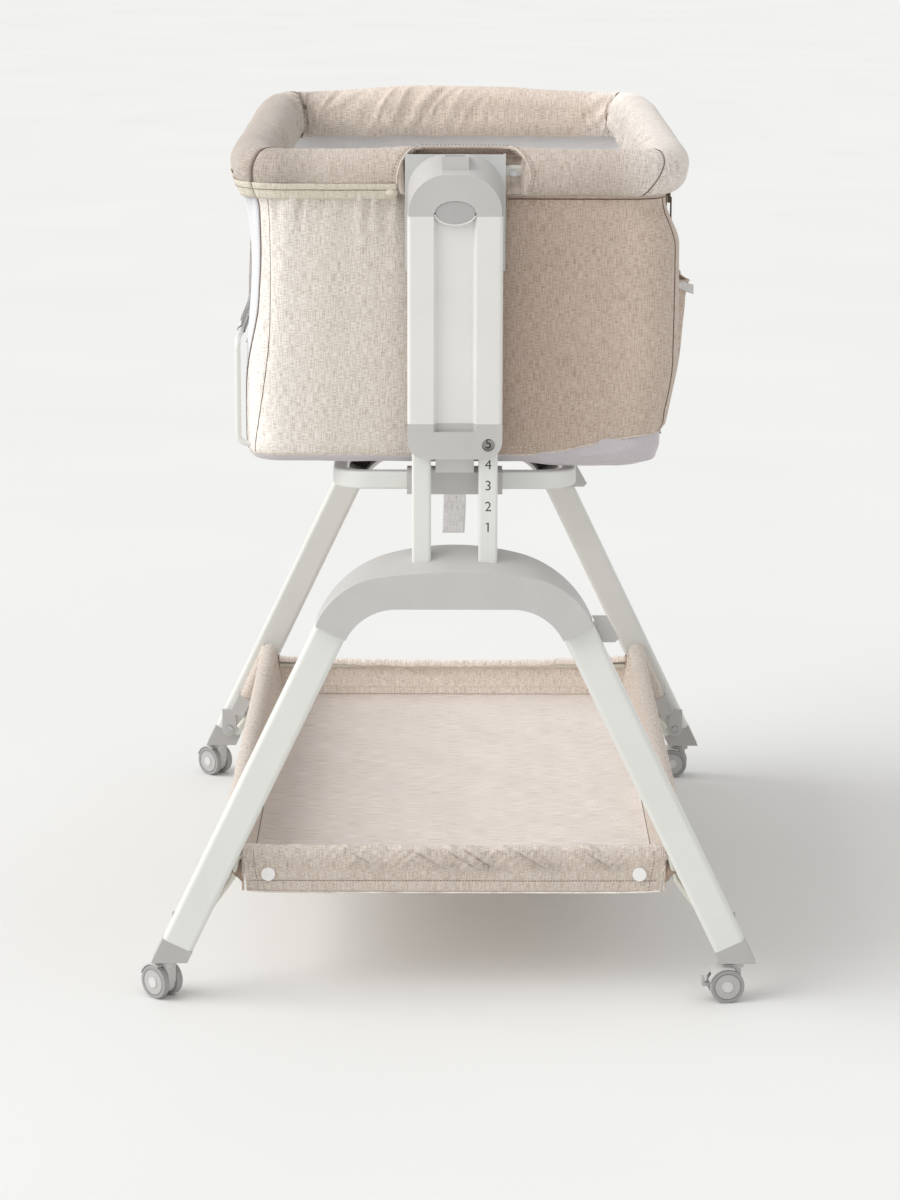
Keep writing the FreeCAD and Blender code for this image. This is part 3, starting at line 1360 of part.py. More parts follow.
snaps = []
for end, word in ((-1, "near"), (1, "far")):
    for side, hand in ((-1, "left"), (1, "right")):
        start_y = -(tray_half_length + snap_rise) if end < 0 else tray_half_length
        snaps.append(rod(f"{word}_{hand}_snap",
                         (side * (tray_half - snap_inset), start_y, tray_low + snap_above),
                         snap_radius, snap_rise, ALONG_Y))
keep(group("tray_snaps", snaps), "tray_snaps")


# ---------------------------------------------------------------- casters

# Each caster is drawn about its own stem, with the wheels trailing towards -X, then turned to
# the heading it stands at.
HEADINGS = {
    ("near", "left"): -42,
    ("near", "right"): 7,
    ("far", "left"): -42,
    ("far", "right"): -5,
}


def caster(along, across, end, side):
    name = corner_name(along, across, "caster")
    place = (side * stem_across, end * leg_plane, 0)
    heading = HEADINGS[(along, across)]
    half_spread = wheel_spread / 2
    half_track = half_spread + wheel_width
    web_half = half_spread - sliding_gap

    web_radius = wheel_radius - web_margin
    web = rod(name + "_web", (-trail, -web_half, wheel_radius), web_radius, 2 * web_half, ALONG_Y)
    arm = box(name + "_arm", -trail, -web_half, wheel_radius, trail + 3, 2 * web_half,
              caster_top - wheel_radius - 2)
    boss = rod(name + "_boss", (0, 0, 2 * wheel_radius), boss_radius, caster_headroom)
    stem = rod(name + "_stem", (0, 0, caster_top - 1), stem_radius, stem_reach + 1)
    hood_inner = wheel_radius + hood_gap
    hood_outer = rod(name + "_hood_outer", (-trail, -half_track, wheel_radius),
                     hood_inner + hood_wall, 2 * half_track, ALONG_Y)
    hood_room = rod(name + "_hood_room", (-trail, -half_track - 1, wheel_radius),
                    hood_inner, 2 * half_track + 2, ALONG_Y)
    room = 3 * wheel_radius
    hood_low = box(name + "_hood_low", -trail - room, -half_track - 1, -room,
                   2 * room, 2 * half_track + 2, room + wheel_radius + hood_side)
    hood_front = box(name + "_hood_front", hood_open - trail, -half_track - 1, 0,
                     room, 2 * half_track + 2, room)
    hood = cut(name + "_hood", hood_outer, [hood_room, hood_low, hood_front])
    hood_tie = box(name + "_hood_tie", -trail - 4, -web_half, wheel_radius + web_radius - 2,
                   10, 2 * web_half, hood_inner - web_radius + 3)
    pin_place = (-trail - brake_back, -web_half, wheel_radius + brake_above)
    pin = rod(name + "_pin", pin_place,
              brake_pin, 2 * web_half, ALONG_Y)
    lever_slot = box(name + "_lever_slot", -trail - room, -brake_width / 2 - sliding_gap, 0,
                     room - brake_slot, brake_width + 2 * sliding_gap,
                     wheel_radius + slot_above)
    axle_bore = rod(name + "_axle_bore", (-trail, -half_track, wheel_radius),
                    axle_radius + running_gap, 2 * half_track, ALONG_Y)
    whole = joined_shapes(name + "_blank", [web, arm, boss, stem, hood, hood_tie])
    slotted = cut(name + "_slotted", whole, [axle_bore, lever_slot])
    housing = joined_shapes(name + "_housing", [slotted, pin])
    keep(put(housing, *place, turn=heading), name + "_housing")

    groove = wheel_radius - wheel_groove
    wheels = revolved(name + "_wheels_drawn", [
        (0, -half_track - hub_rise),
        (hub_radius, -half_track - hub_rise),
        (hub_radius + hub_rise / 2, -half_track),
        (groove, -half_track),
        (groove, -half_track + groove_width),
        (groove + groove_width, -half_track + groove_width),
        (groove + groove_width, -half_track),
        (wheel_radius - wheel_round, -half_track, wheel_round),
        (wheel_radius, -half_track + wheel_round),
        (wheel_radius, -half_spread - wheel_round, wheel_round),
        (wheel_radius - wheel_round, -half_spread),
        (axle_radius, -half_spread),
        (axle_radius, half_spread),
        (wheel_radius - wheel_round, half_spread, wheel_round),
        (wheel_radius, half_spread + wheel_round),
        (wheel_radius, half_track - wheel_round, wheel_round),
        (wheel_radius - wheel_round, half_track),
        (groove + groove_width, half_track),
        (groove + groove_width, half_track - groove_width),
        (groove, half_track - groove_width),
        (groove, half_track),
        (hub_radius + hub_rise / 2, half_track),
        (hub_radius, half_track + hub_rise),
        (0, half_track + hub_rise),
    ])
    turned = Rotation(Vector(0, 0, 1), heading)
    axle_from_stem = turned.multVec(Vector(-1, 0, 0))
    put(wheels, place[0] + axle_from_stem.x * trail, place[1] + axle_from_stem.y * trail,
        wheel_radius, turn=heading)
    keep(wheels, name + "_wheels")

    lever_start = trail + brake_back - 1
    arm_low = wheel_radius + lever_above
    arm_far = brake_tab - 1 - brake_reach
    lever_arm = box(name + "_lever_arm", arm_far, -brake_width / 2 + 1, arm_low,
                    2 - lever_start - arm_far, brake_width - 2, brake_thickness)
    lever_eye = rod(name + "_lever_eye", (-trail - brake_back, -brake_width / 2, wheel_radius + brake_above),
                    brake_pin + brake_eye, brake_width, ALONG_Y)
    tab = box(name + "_tab", -brake_reach, -brake_width / 2, arm_low - 2,
              brake_tab, brake_width, brake_thickness)
    tab_rise = box(name + "_tab_rise", -brake_reach, -brake_width / 2, arm_low - 2,
                   tab_wall, brake_width, brake_tab)
    pin_bore = rod(name + "_pin_bore", (-trail - brake_back, -brake_width, wheel_radius + brake_above),
                   brake_pin + running_gap, 2 * brake_width, ALONG_Y)
    lever_blank = joined_shapes(name + "_lever_blank", [lever_arm, lever_eye, tab, tab_rise])
    lever = cut(name + "_lever", lever_blank, [pin_bore])
    keep(put(lever, *place, turn=heading), name + "_brake")


for corner in CORNERS:
    caster(*corner)


# ---------------------------------------------------------------- checks and export

doc.recompute()
failed = [thing.Name for thing in doc.Objects
          if "Invalid" in thing.State or "Error" in thing.State]
if failed:
    raise RuntimeError(f"objects failed: {failed}")
for thing in nodes:
    if thing.Shape.isNull() or not thing.Shape.isValid():
        raise RuntimeError(f"{thing.Label} has no valid shape")
for thing in nodes:
    thing.Shape.exportStep(f"parts/{thing.Label}.step")
    bounds = thing.Shape.BoundBox
    print(f"{thing.Label:28s} solids {len(thing.Shape.Solids)}  "
          f"x {bounds.XMin:.1f} {bounds.XMax:.1f}  y {bounds.YMin:.1f} {bounds.YMax:.1f}  "
          f"z {bounds.ZMin:.1f} {bounds.ZMax:.1f}")
print(len(nodes), "nodes")
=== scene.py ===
# Bedside sleeper crib, dressed over its CAD frame. Sizes are in millimetres and MM turns them to metres.
import math

import bmesh
import bpy
from mathutils import Matrix, Vector, noise


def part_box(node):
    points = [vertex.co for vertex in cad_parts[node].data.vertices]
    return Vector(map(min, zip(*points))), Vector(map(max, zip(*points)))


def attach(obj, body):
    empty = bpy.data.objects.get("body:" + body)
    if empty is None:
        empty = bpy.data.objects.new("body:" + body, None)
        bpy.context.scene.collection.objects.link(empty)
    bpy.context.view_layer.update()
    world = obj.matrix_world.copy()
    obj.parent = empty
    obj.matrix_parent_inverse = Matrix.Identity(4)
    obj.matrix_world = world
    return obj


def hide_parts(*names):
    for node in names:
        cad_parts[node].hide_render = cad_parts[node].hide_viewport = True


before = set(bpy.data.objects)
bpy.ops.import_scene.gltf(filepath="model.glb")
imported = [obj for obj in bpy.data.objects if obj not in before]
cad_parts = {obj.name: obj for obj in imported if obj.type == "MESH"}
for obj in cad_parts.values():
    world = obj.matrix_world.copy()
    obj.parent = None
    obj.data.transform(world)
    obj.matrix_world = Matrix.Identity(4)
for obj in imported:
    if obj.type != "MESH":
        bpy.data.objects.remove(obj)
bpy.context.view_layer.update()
MM = 0.001

# ---------------------------------------------------------------- studio
# A pale seamless floor that runs past the horizon, a broad soft sun and a softbox from the upper
# left under a white sky, and the camera at the height and distance that the photograph was taken from.


def linear(hex_colour):
    """An sRGB hex colour as the linear colour that shaders and lights take."""
    parts = [int(hex_colour[k : k + 2], 16) / 255 for k in (1, 3, 5)]
    return (*[c / 12.92 if c <= 0.04045 else ((c + 0.055) / 1.055) ** 2.4 for c in parts], 1.0)


def new_finish(name, sockets):
    """A material with its one shader, whose even values are set on its own sockets."""
    material = bpy.data.materials.new(name)
    material.use_nodes = True
    shader = material.node_tree.nodes["Principled BSDF"]
    for socket, value in sockets.items():
        shader.inputs[socket].default_value = value
    return material, shader


def add(material, kind, settings, sockets):
    """Adds a node, sets it up, and fills or links its sockets. A ramp's stops are one of its settings."""
    made = material.node_tree.nodes.new("ShaderNode" + kind)
    for name, value in settings.items():
        if name == "stops":
            while len(made.color_ramp.elements) < len(value):
                made.color_ramp.elements.new(0.5)
            for stop, (at, colour) in zip(made.color_ramp.elements, value):
                stop.position, stop.color = at, colour
        else:
            setattr(made, name, value)
    for name, value in sockets.items():
        if isinstance(value, bpy.types.NodeSocket):
            material.node_tree.links.new(value, made.inputs[name])
        else:
            made.inputs[name].default_value = value
    return made


def join(material, out, socket):
    material.node_tree.links.new(out, socket)


def tones(dark, light, low=0.3, high=0.7):
    """The settings of a ramp from a dark tone to a light one."""
    return {"stops": [(low, linear(dark)), (high, linear(light))]}


# Matt studio vinyl: an even pale tone with a faint cloudiness, so shadows stay soft on it.
studio_vinyl, shader = new_finish("studio_vinyl", {"Roughness": 0.9, "Specular IOR Level": 0.2})
place = add(studio_vinyl, "TexCoord", {}, {})
cloud = add(studio_vinyl, "TexNoise", {}, {"Vector": place.outputs["Object"], "Scale": 1.5})
tone = add(studio_vinyl, "ValToRGB", tones("#E9E9E7", "#ECECEA"), {"Fac": cloud.outputs["Fac"]})
join(studio_vinyl, tone.outputs["Color"], shader.inputs["Base Color"])

floor_shape = bmesh.new()
bmesh.ops.create_circle(floor_shape, cap_ends=True, segments=96, radius=60)
floor_mesh = bpy.data.meshes.new("studio_floor")
floor_shape.to_mesh(floor_mesh)
floor_shape.free()
floor_mesh.materials.append(studio_vinyl)
studio_floor = bpy.data.objects.new("studio_floor", floor_mesh)
bpy.context.scene.collection.objects.link(studio_floor)

sky = bpy.data.worlds.new("studio_sky")
sky.use_nodes = True
sky.node_tree.nodes["Background"].inputs["Color"].default_value = linear("#FFFFFF")
sky.node_tree.nodes["Background"].inputs["Strength"].default_value = 0.73
bpy.context.scene.world = sky
bpy.context.scene.view_settings.view_transform = "Standard"


def lamp(name, kind, energy, colour, at, towards, **settings):
    light = bpy.data.lights.new(name, kind)
    light.energy, light.color = energy, linear(colour)[:3]
    for setting, value in settings.items():
        setattr(light, setting, value)
    made = bpy.data.objects.new(name, light)
    bpy.context.scene.collection.objects.link(made)
    made.location = at
    made.rotation_euler = (Vector(towards) - Vector(at)).to_track_quat("-Z", "Y").to_euler()


lamp("window_light", "SUN", 1.85, "#FFFFFF", (-3.0, -0.6, 2.7), (0, 0, 0.5), angle=0.9)
lamp(
    "left_softbox", "AREA", 4, "#FFFFFF", (-1.7, -1.9, 1.5), (0, -0.2, 0.55), shape="RECTANGLE", size=1.2,
    size_y=1.6
)

# where the camera stands, in metres, and how far it is panned, tipped down and rolled, in degrees
CAMERA_AT, PAN, TIP, ROLL = (-0.00984, -3.80515, 1.18512), -0.0916, 12.7985, 0.1136
lens = bpy.data.cameras.new("photo_camera")
lens.sensor_fit, lens.sensor_width, lens.lens = "AUTO", 36, 104.79
photo_camera = bpy.data.objects.new("photo_camera", lens)
bpy.context.scene.collection.objects.link(photo_camera)
photo_camera.matrix_world = (
    Matrix.Translation(CAMERA_AT)
    @ Matrix.Rotation(math.radians(PAN), 4, "Z")
    @ Matrix.Rotation(math.radians(90 - TIP), 4, "X")
    @ Matrix.Rotation(math.radians(ROLL), 4, "Z")
)
bpy.context.scene.camera = photo_camera

# ---------------------------------------------------------------- white steel tubes
# Legs, rails, rim, guard bar, base ring and tray tubes are bent steel tube, powder coated white.
# The powder melts into a smooth satin skin with a fine orange peel.


def coat(finish, *names):
    """Gives CAD nodes that keep their shape their finish."""
    for name in names:
        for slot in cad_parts[name].material_slots:
            slot.material = finish


def powder_coat(name, light, dark):
    material, shader = new_finish(name, {"Roughness": 0.4, "Coat Weight": 0.12, "Coat Roughness": 0.25})
    place = add(material, "TexCoord", {}, {})
    cloud = add(
        material, "TexNoise", {}, {"Vector": place.outputs["Object"], "Scale": 1 / 0.09, "Detail": 3.0}
    )
    tone = add(material, "ValToRGB", tones(dark, light), {"Fac": cloud.outputs["Fac"]})
    join(material, tone.outputs["Color"], shader.inputs["Base Color"])
    # orange peel: ripples about 2 mm across
    peel = add(
        material, "TexNoise", {}, {"Vector": place.outputs["Object"], "Scale": 1 / 0.002, "Detail": 2.0}
    )
    skin = add(material, "Bump", {}, {"Height": peel.outputs["Fac"], "Strength": 0.12, "Distance": 0.0004})
    join(material, skin.outputs["Normal"], shader.inputs["Normal"])
    gloss = add(material, "MapRange", {}, {"Value": peel.outputs["Fac"], "To Min": 0.34, "To Max": 0.46})
    join(material, gloss.outputs["Result"], shader.inputs["Roughness"])
    return material


white_powder_coat = powder_coat("white_powder_coat", "#E3E3DF", "#DFDFDA")
ends, sides = ("near", "far"), ("left", "right")
corners = [f"{end}_{side}" for end in ends for side in sides]
coat(white_powder_coat, *[f"{corner}_leg" for corner in corners], "near_rails", "far_rails")
coat(white_powder_coat, "rim_tube", "drop_rim_tube", "guard_bar", "left_tray_tube", "right_tray_tube")

# ---------------------------------------------------------------- grey mouldings
# Arches, post caps, foot caps, clips and buttons are injection moulded ABS with a fine spark-eroded
# grain, and the post sleeves are the same plastic in a warm white.


def moulded_abs(name, light, dark, roughness=0.48):
    material, shader = new_finish(name, {"Specular IOR Level": 0.45})
    place = add(material, "TexCoord", {}, {})
    # flow marks from the gate, a hand's width across and hardly there
    flow = add(
        material, "TexNoise", {},
        {"Vector": place.outputs["Object"], "Scale": 1 / 0.07, "Detail": 2.0, "Distortion": 0.6}
    )
    tone = add(material, "ValToRGB", tones(dark, light), {"Fac": flow.outputs["Fac"]})
    join(material, tone.outputs["Color"], shader.inputs["Base Color"])
    # the real grain is 0.3 mm, too fine to show, so it is drawn at 0.9 mm
    grain = add(
        material, "TexNoise", {}, {"Vector": place.outputs["Object"], "Scale": 1 / 0.0009, "Detail": 3.0}
    )
    skin = add(material, "Bump", {}, {"Height": grain.outputs["Fac"], "Strength": 0.16, "Distance": 0.0003})
    join(material, skin.outputs["Normal"], shader.inputs["Normal"])
    gloss = add(
        material, "MapRange", {},
        {"Value": grain.outputs["Fac"], "To Min": roughness - 0.08, "To Max": roughness + 0.08}
    )
    join(material, gloss.outputs["Result"], shader.inputs["Roughness"])
    return material


grey_abs = moulded_abs("grey_abs", "#C6C4C1", "#C0BEBB")
foot_abs = moulded_abs("foot_abs", "#B9B7B4", "#B3B1AE")
button_abs = moulded_abs("button_abs", "#B5B3B1", "#AEACAA", 0.42)
warm_white_abs = moulded_abs("warm_white_abs", "#E4E3DF", "#E0DFDB", 0.44)
bracket_abs = moulded_abs("bracket_abs", "#CBCBC9", "#C5C5C3", 0.44)
coat(grey_abs, "near_arch", "far_arch", "leg_plates", "tray_clips", "ring_brackets")
coat(grey_abs, *[f"{end}_post_{part}" for end in ends for part in ("top_cap", "bottom_cap")])
coat(foot_abs, *[f"{corner}_foot_cap" for corner in corners])
coat(button_abs, "near_height_button", "far_height_button")
coat(warm_white_abs, "near_post_sleeve", "far_post_sleeve")
coat(bracket_abs, "near_rim_bracket", "far_rim_bracket")


def zoned(made, finish, belongs):
    """Gives the faces that belong to a zone a second finish, by a face's middle in mm and its normal."""
    made.data.materials.append(finish)
    for face in made.data.polygons:
        if belongs(face.center / MM, face.normal):
            face.material_index = len(made.data.materials) - 1


def in_arch_cell(middle, normal):
    """The floors of the arch's open cells, which face the crib's middle: where the painted shade goes."""
    return abs(middle.y) > ARCH_SKIN and normal.y * middle.y < -200


# The hangers above the ring clamps are in the posts' white. The arches' deep cells are in shade, and that
# shade is painted on their floors as a dark finish.
ARCH_SKIN, CLAMP_TOP = 436, 541
arch_painted_shade = moulded_abs("arch_painted_shade", "#4A4643", "#3A3634", 0.6)
zoned(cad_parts["ring_brackets"], warm_white_abs, lambda middle, normal: middle.z > CLAMP_TOP)
for end in ends:
    zoned(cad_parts[f"{end}_arch"], arch_painted_shade, in_arch_cell)

# ---------------------------------------------------------------- small metal
# Bolts, rim screws, snaps and hem wires are steel: the fixings bright zinc plated, the wires cream
# coated and the snaps lacquered white.


def plated_steel(name, light, dark, roughness):
    material, shader = new_finish(name, {"Metallic": 1.0})
    place = add(material, "TexCoord", {}, {})
    # spangle and handling marks, 3 mm and finer
    mark = add(
        material, "TexNoise", {}, {"Vector": place.outputs["Object"], "Scale": 1 / 0.003, "Detail": 5.0}
    )
    tone = add(material, "ValToRGB", tones(dark, light), {"Fac": mark.outputs["Fac"]})
    join(material, tone.outputs["Color"], shader.inputs["Base Color"])
    gloss = add(
        material, "MapRange", {},
        {"Value": mark.outputs["Fac"], "To Min": roughness - 0.08, "To Max": roughness + 0.1}
    )
    join(material, gloss.outputs["Result"], shader.inputs["Roughness"])
    return material


zinc_plate = plated_steel("zinc_plate", "#D2D3D4", "#A9AAAC", 0.3)
bronzed_zinc = plated_steel("bronzed_zinc", "#6A5D52", "#41382F", 0.38)
coat(zinc_plate, "rim_screws", "tray_bolts")
coat(powder_coat("cream_powder_coat", "#E2E0D4", "#D8D6CA"), "near_tray_wire", "far_tray_wire")
coat(moulded_abs("snap_lacquer", "#F4F3F1", "#ECEBE9", 0.35), "tray_snaps")

# ---------------------------------------------------------------- height numbers
# The five height settings are pad printed on the right rail, one every 21 mm, and the window in the
# bottom cap shows the one in use. Dark grey ink with a dry, slightly grainy edge.
pad_print, shader = new_finish("pad_print", {"Roughness": 0.62})
place = add(pad_print, "TexCoord", {}, {})
speck = add(
    pad_print, "TexNoise", {}, {"Vector": place.outputs["Object"], "Scale": 1 / 0.0006, "Detail": 2.0}
)
tone = add(pad_print, "ValToRGB", tones("#3E3D3C", "#565452", 0.35), {"Fac": speck.outputs["Fac"]})
join(pad_print, tone.outputs["Color"], shader.inputs["Base Color"])

LEVELS, LEVEL_STEP, FIRST_LEVEL = 5, 21, 575
DIGIT_HEIGHT, DIGITS_ACROSS, INK_THICK, CAPITAL_SHARE = 9.6, 33.0, 0.06, 0.69
FLAG_OF_ONE = ((-2.4, 7.6), (-0.2, 8.6), (-0.2, 9.6), (-2.4, 8.6))


def finished(name, mesh, finish, body):
    """The object of a finished mesh, riding on its body."""
    mesh.materials.clear()
    mesh.materials.append(finish)
    mesh.polygons.foreach_set("use_smooth", [True] * len(mesh.polygons))
    made = bpy.data.objects.new(name, mesh)
    bpy.context.scene.collection.objects.link(made)
    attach(made, body)
    return made


for end, facing in zip(ends, (0, math.pi)):
    rail_low, rail_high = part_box(f"{end}_rails")
    ink_face = rail_low.y if end == "near" else rail_high.y
    for step in range(LEVELS):
        number = LEVELS - step
        letter = bpy.data.curves.new("digit", "FONT")
        letter.body, letter.size, letter.align_x = str(number), DIGIT_HEIGHT / CAPITAL_SHARE * MM, "CENTER"
        letter.extrude, letter.resolution_u = INK_THICK * MM, 6
        loose = bpy.data.objects.new("digit", letter)
        bpy.context.scene.collection.objects.link(loose)
        printed = bpy.data.meshes.new_from_object(loose)
        bpy.data.objects.remove(loose)
        if number == 1:
            numeral = bmesh.new()
            numeral.from_mesh(printed)
            numeral.faces.new([numeral.verts.new((x * MM, y * MM, letter.extrude)) for x, y in FLAG_OF_ONE])
            numeral.to_mesh(printed)
            numeral.free()
        height = (FIRST_LEVEL - step * LEVEL_STEP - DIGIT_HEIGHT / 2) * MM
        faced = Matrix.Translation((DIGITS_ACROSS * MM, ink_face, height)) @ Matrix.Rotation(facing, 4, "Z")
        printed.transform(faced @ Matrix.Rotation(math.pi / 2, 4, "X"))
        digit = finished(f"{end}_height_number_{number}", printed, pad_print, "stand")
        digit.data.polygons.foreach_set("use_smooth", [False] * len(digit.data.polygons))

# ---------------------------------------------------------------- casters
# Twin-wheel swivel casters: a grey nylon hood and web, wheels with a softer tread moulded round a
# paler hub, and a nylon brake lever behind.
caster_nylon = moulded_abs("caster_nylon", "#CCCBC9", "#C4C3C1", 0.42)
coat(caster_nylon, *[f"{corner}_caster_housing" for corner in corners])
coat(moulded_abs("lever_nylon", "#B7B6B4", "#AFAEAC", 0.4), *[f"{corner}_caster_brake" for corner in corners])
WHEEL_RADIUS, TREAD_WIDTH = 17.5, 4.5
HEADINGS = (-42, 7, -42, -5)  # degrees that each caster is turned, in the order of corners
for corner, heading in zip(corners, HEADINGS):
    wheel_low, wheel_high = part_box(f"{corner}_caster_wheels")
    axle = (wheel_low + wheel_high) / 2
    # the tread is a darker ring than the hub, so the shade goes by the distance from the axle
    wheel_nylon, shader = new_finish(f"wheel_nylon_{corner}", {"Specular IOR Level": 0.45})
    place = add(wheel_nylon, "TexCoord", {}, {})
    centred = add(wheel_nylon, "VectorMath", {"operation": "SUBTRACT"}, {0: place.outputs["Object"], 1: axle})
    turned = add(
        wheel_nylon, "VectorRotate", {"rotation_type": "Z_AXIS"},
        {"Vector": centred.outputs[0], "Angle": math.radians(-heading)}
    )
    flat = add(wheel_nylon, "VectorMath", {"operation": "MULTIPLY"}, {0: turned.outputs[0], 1: (1, 0, 1)})
    reach = add(wheel_nylon, "VectorMath", {"operation": "LENGTH"}, {0: flat.outputs[0]})
    ring = add(
        wheel_nylon, "MapRange", {},
        {"Value": reach.outputs["Value"], "From Min": 0.0, "From Max": WHEEL_RADIUS * MM}
    )
    band = 1 - TREAD_WIDTH / WHEEL_RADIUS
    shades = [(0.0, "#D6D5D3"), (0.30, "#D0CFCD"), (0.34, "#BAB9B7"), (band - 0.02, "#B5B4B2")]
    shades += [(band + 0.02, "#989796"), (1.0, "#A2A1A0")]
    stops = [(share, linear(colour)) for share, colour in shades]
    tone = add(wheel_nylon, "ValToRGB", {"stops": stops}, {"Fac": ring.outputs["Result"]})
    join(wheel_nylon, tone.outputs["Color"], shader.inputs["Base Color"])
    scuff = add(
        wheel_nylon, "TexNoise", {}, {"Vector": place.outputs["Object"], "Scale": 1 / 0.002, "Detail": 4.0}
    )
    gloss = add(wheel_nylon, "MapRange", {}, {"Value": scuff.outputs["Fac"], "To Min": 0.38, "To Max": 0.62})
    join(wheel_nylon, gloss.outputs["Result"], shader.inputs["Roughness"])
    skin = add(
        wheel_nylon, "Bump", {}, {"Height": scuff.outputs["Fac"], "Strength": 0.15, "Distance": 0.0003}
    )
    join(wheel_nylon, skin.outputs["Normal"], shader.inputs["Normal"])
    coat(wheel_nylon, f"{corner}_caster_wheels")

# ---------------------------------------------------------------- heathered cloth
# Tray, rim and walls are a heathered polyester with a linen look: slubby beige and cream yarns in a
# plain weave, matt with a soft fuzz that catches light at grazing angles.


def woven(name, light, middle, dark, slub=0.85, relief=0.25, warp_slub=12, weft_slub=6):
    """A plain weave of slubby yarns, laid out by the piece's own flat cut."""
    fuzz = {"Roughness": 0.93, "Specular IOR Level": 0.2, "Sheen Weight": 0.25, "Sheen Roughness": 0.5}
    material, shader = new_finish(name, fuzz)
    cut = add(material, "UVMap", {"uv_map": "weave"}, {})
    # slubs are thick places in the yarn: one yarn wide, and as long as warp_slub and weft_slub say
    warp_map = add(
        material, "Mapping", {},
        {"Vector": cut.outputs["UV"], "Scale": (1 / (slub * MM), 1 / (warp_slub * MM), 1)}
    )
    weft_map = add(
        material, "Mapping", {},
        {"Vector": cut.outputs["UV"], "Scale": (1 / (weft_slub * MM), 1 / (slub * MM), 1)}
    )
    flat_noise, yarn = {"noise_dimensions": "2D"}, {"Scale": 1.0, "Detail": 1.0, "Roughness": 0.5}
    warp = add(material, "TexNoise", flat_noise, {"Vector": warp_map.outputs[0], **yarn})
    weft = add(material, "TexNoise", flat_noise, {"Vector": weft_map.outputs[0], **yarn})
    yarns = add(material, "Math", {"operation": "ADD"}, {0: warp.outputs["Fac"], 1: weft.outputs["Fac"]})
    # flecks where a dark yarn floats over a light one
    spots = {"Vector": cut.outputs["UV"], "Scale": 1 / (slub * 0.9 * MM), "Detail": 2.0}
    fleck = add(material, "TexNoise", flat_noise, spots)
    mixed = add(
        material, "Math", {"operation": "MULTIPLY_ADD"},
        {0: fleck.outputs["Fac"], 1: 0.5, 2: yarns.outputs[0]}
    )
    spread = add(material, "MapRange", {}, {"Value": mixed.outputs[0], "From Min": 0.93, "From Max": 1.57})
    heather = [(0.0, linear(dark)), (0.45, linear(middle)), (1.0, linear(light))]
    tone = add(material, "ValToRGB", {"stops": heather}, {"Fac": spread.outputs["Result"]})
    # the dye takes a little unevenly, in patches a hand's width across
    patch = add(
        material, "TexNoise", flat_noise, {"Vector": cut.outputs["UV"], "Scale": 1 / 0.075, "Detail": 2.0}
    )
    uneven = {"From Min": 0.3, "From Max": 0.7, "To Min": 0.98, "To Max": 1.015}
    shade = add(material, "MapRange", {}, {"Value": patch.outputs["Fac"], **uneven})
    even = add(
        material, "VectorMath", {"operation": "SCALE"},
        {0: tone.outputs["Color"], "Scale": shade.outputs["Result"]}
    )
    join(material, even.outputs[0], shader.inputs["Base Color"])
    # thread crowns: 0.7 mm in the real cloth, drawn at 1.5 mm so that they show
    thread_map = add(
        material, "Mapping", {}, {"Vector": cut.outputs["UV"], "Scale": (1 / 0.0015, 1 / 0.0015, 1)}
    )
    crown = {"Vector": thread_map.outputs[0], "Scale": 0.314, "Distortion": 0.6, "Detail": 1.0}
    across = add(material, "TexWave", {"bands_direction": "X"}, crown)
    along = add(material, "TexWave", {"bands_direction": "Y"}, crown)
    crowns = add(material, "Math", {"operation": "ADD"}, {0: across.outputs["Fac"], 1: along.outputs["Fac"]})
    height = add(
        material, "Math", {"operation": "MULTIPLY_ADD"}, {0: yarns.outputs[0], 1: 2.2, 2: crowns.outputs[0]}
    )
    relief_node = add(
        material, "Bump", {}, {"Height": height.outputs[0], "Strength": relief, "Distance": 0.00035}
    )
    join(material, relief_node.outputs["Normal"], shader.inputs["Normal"])
    return material


LINEN_TONES = ("#E5DACF", "#D5C9BD", "#BBAB9C")
linen = woven("heathered_linen_look", *LINEN_TONES)
# the tray floor's cloth: the heather drawn paler as painted light from above, its slubs running across
tray_floor_painted_light_linen = woven("tray_floor_linen_painted_light", "#F3EBE4", "#E4D9D1", "#C4B5AA", warp_slub=3, weft_slub=22)
# the cut-out's taupe lining: its tone is the lining's own, darkened as painted shade
taupe_lining_and_shade = woven("taupe_lining_and_shade", "#988679", "#88776C", "#74645A", 0.9, 0.2)
cream_binding = woven("cream_binding", "#EBE3D6", "#DDD2C1", "#C2B49F", 1.2, 0.35)
white_webbing = woven("white_webbing", "#F6F6F5", "#ECECEB", "#DADAD9", 1.4, 0.6)
# the seams' thread: its own tone, darkened with the painted shade of the seam's groove
seam_thread = woven("shadowed_seam_thread", "#7D6757", "#6B5646", "#523F31", 1.0, 0.3)
cream_thread = woven("cream_thread", "#EDE7DE", "#DCD3C7", "#C5B9AA", 1.0, 0.3)


def shaded_by_place(material, axis, reach, stops):
    """Paints light and shade into a cloth's tone: multiplies it along one axis of the crib, from -reach to
    reach. Each stop is a share of the way and what red, green and blue are multiplied by there."""
    shader = material.node_tree.nodes["Principled BSDF"]
    place = add(material, "TexCoord", {}, {})
    apart = add(material, "SeparateXYZ", {}, {0: place.outputs["Object"]})
    along = add(
        material, "MapRange", {}, {"Value": apart.outputs[axis], "From Min": -reach, "From Max": reach}
    )
    ramp = {"stops": [(share, (*tint, 1)) for share, *tint in stops]}
    glow = add(material, "ValToRGB", ramp, {"Fac": along.outputs["Result"]})
    dyed = shader.inputs["Base Color"].links[0].from_socket
    toned = add(material, "VectorMath", {"operation": "MULTIPLY"}, {0: dyed, 1: glow.outputs["Color"]})
    join(material, toned.outputs[0], shader.inputs["Base Color"])


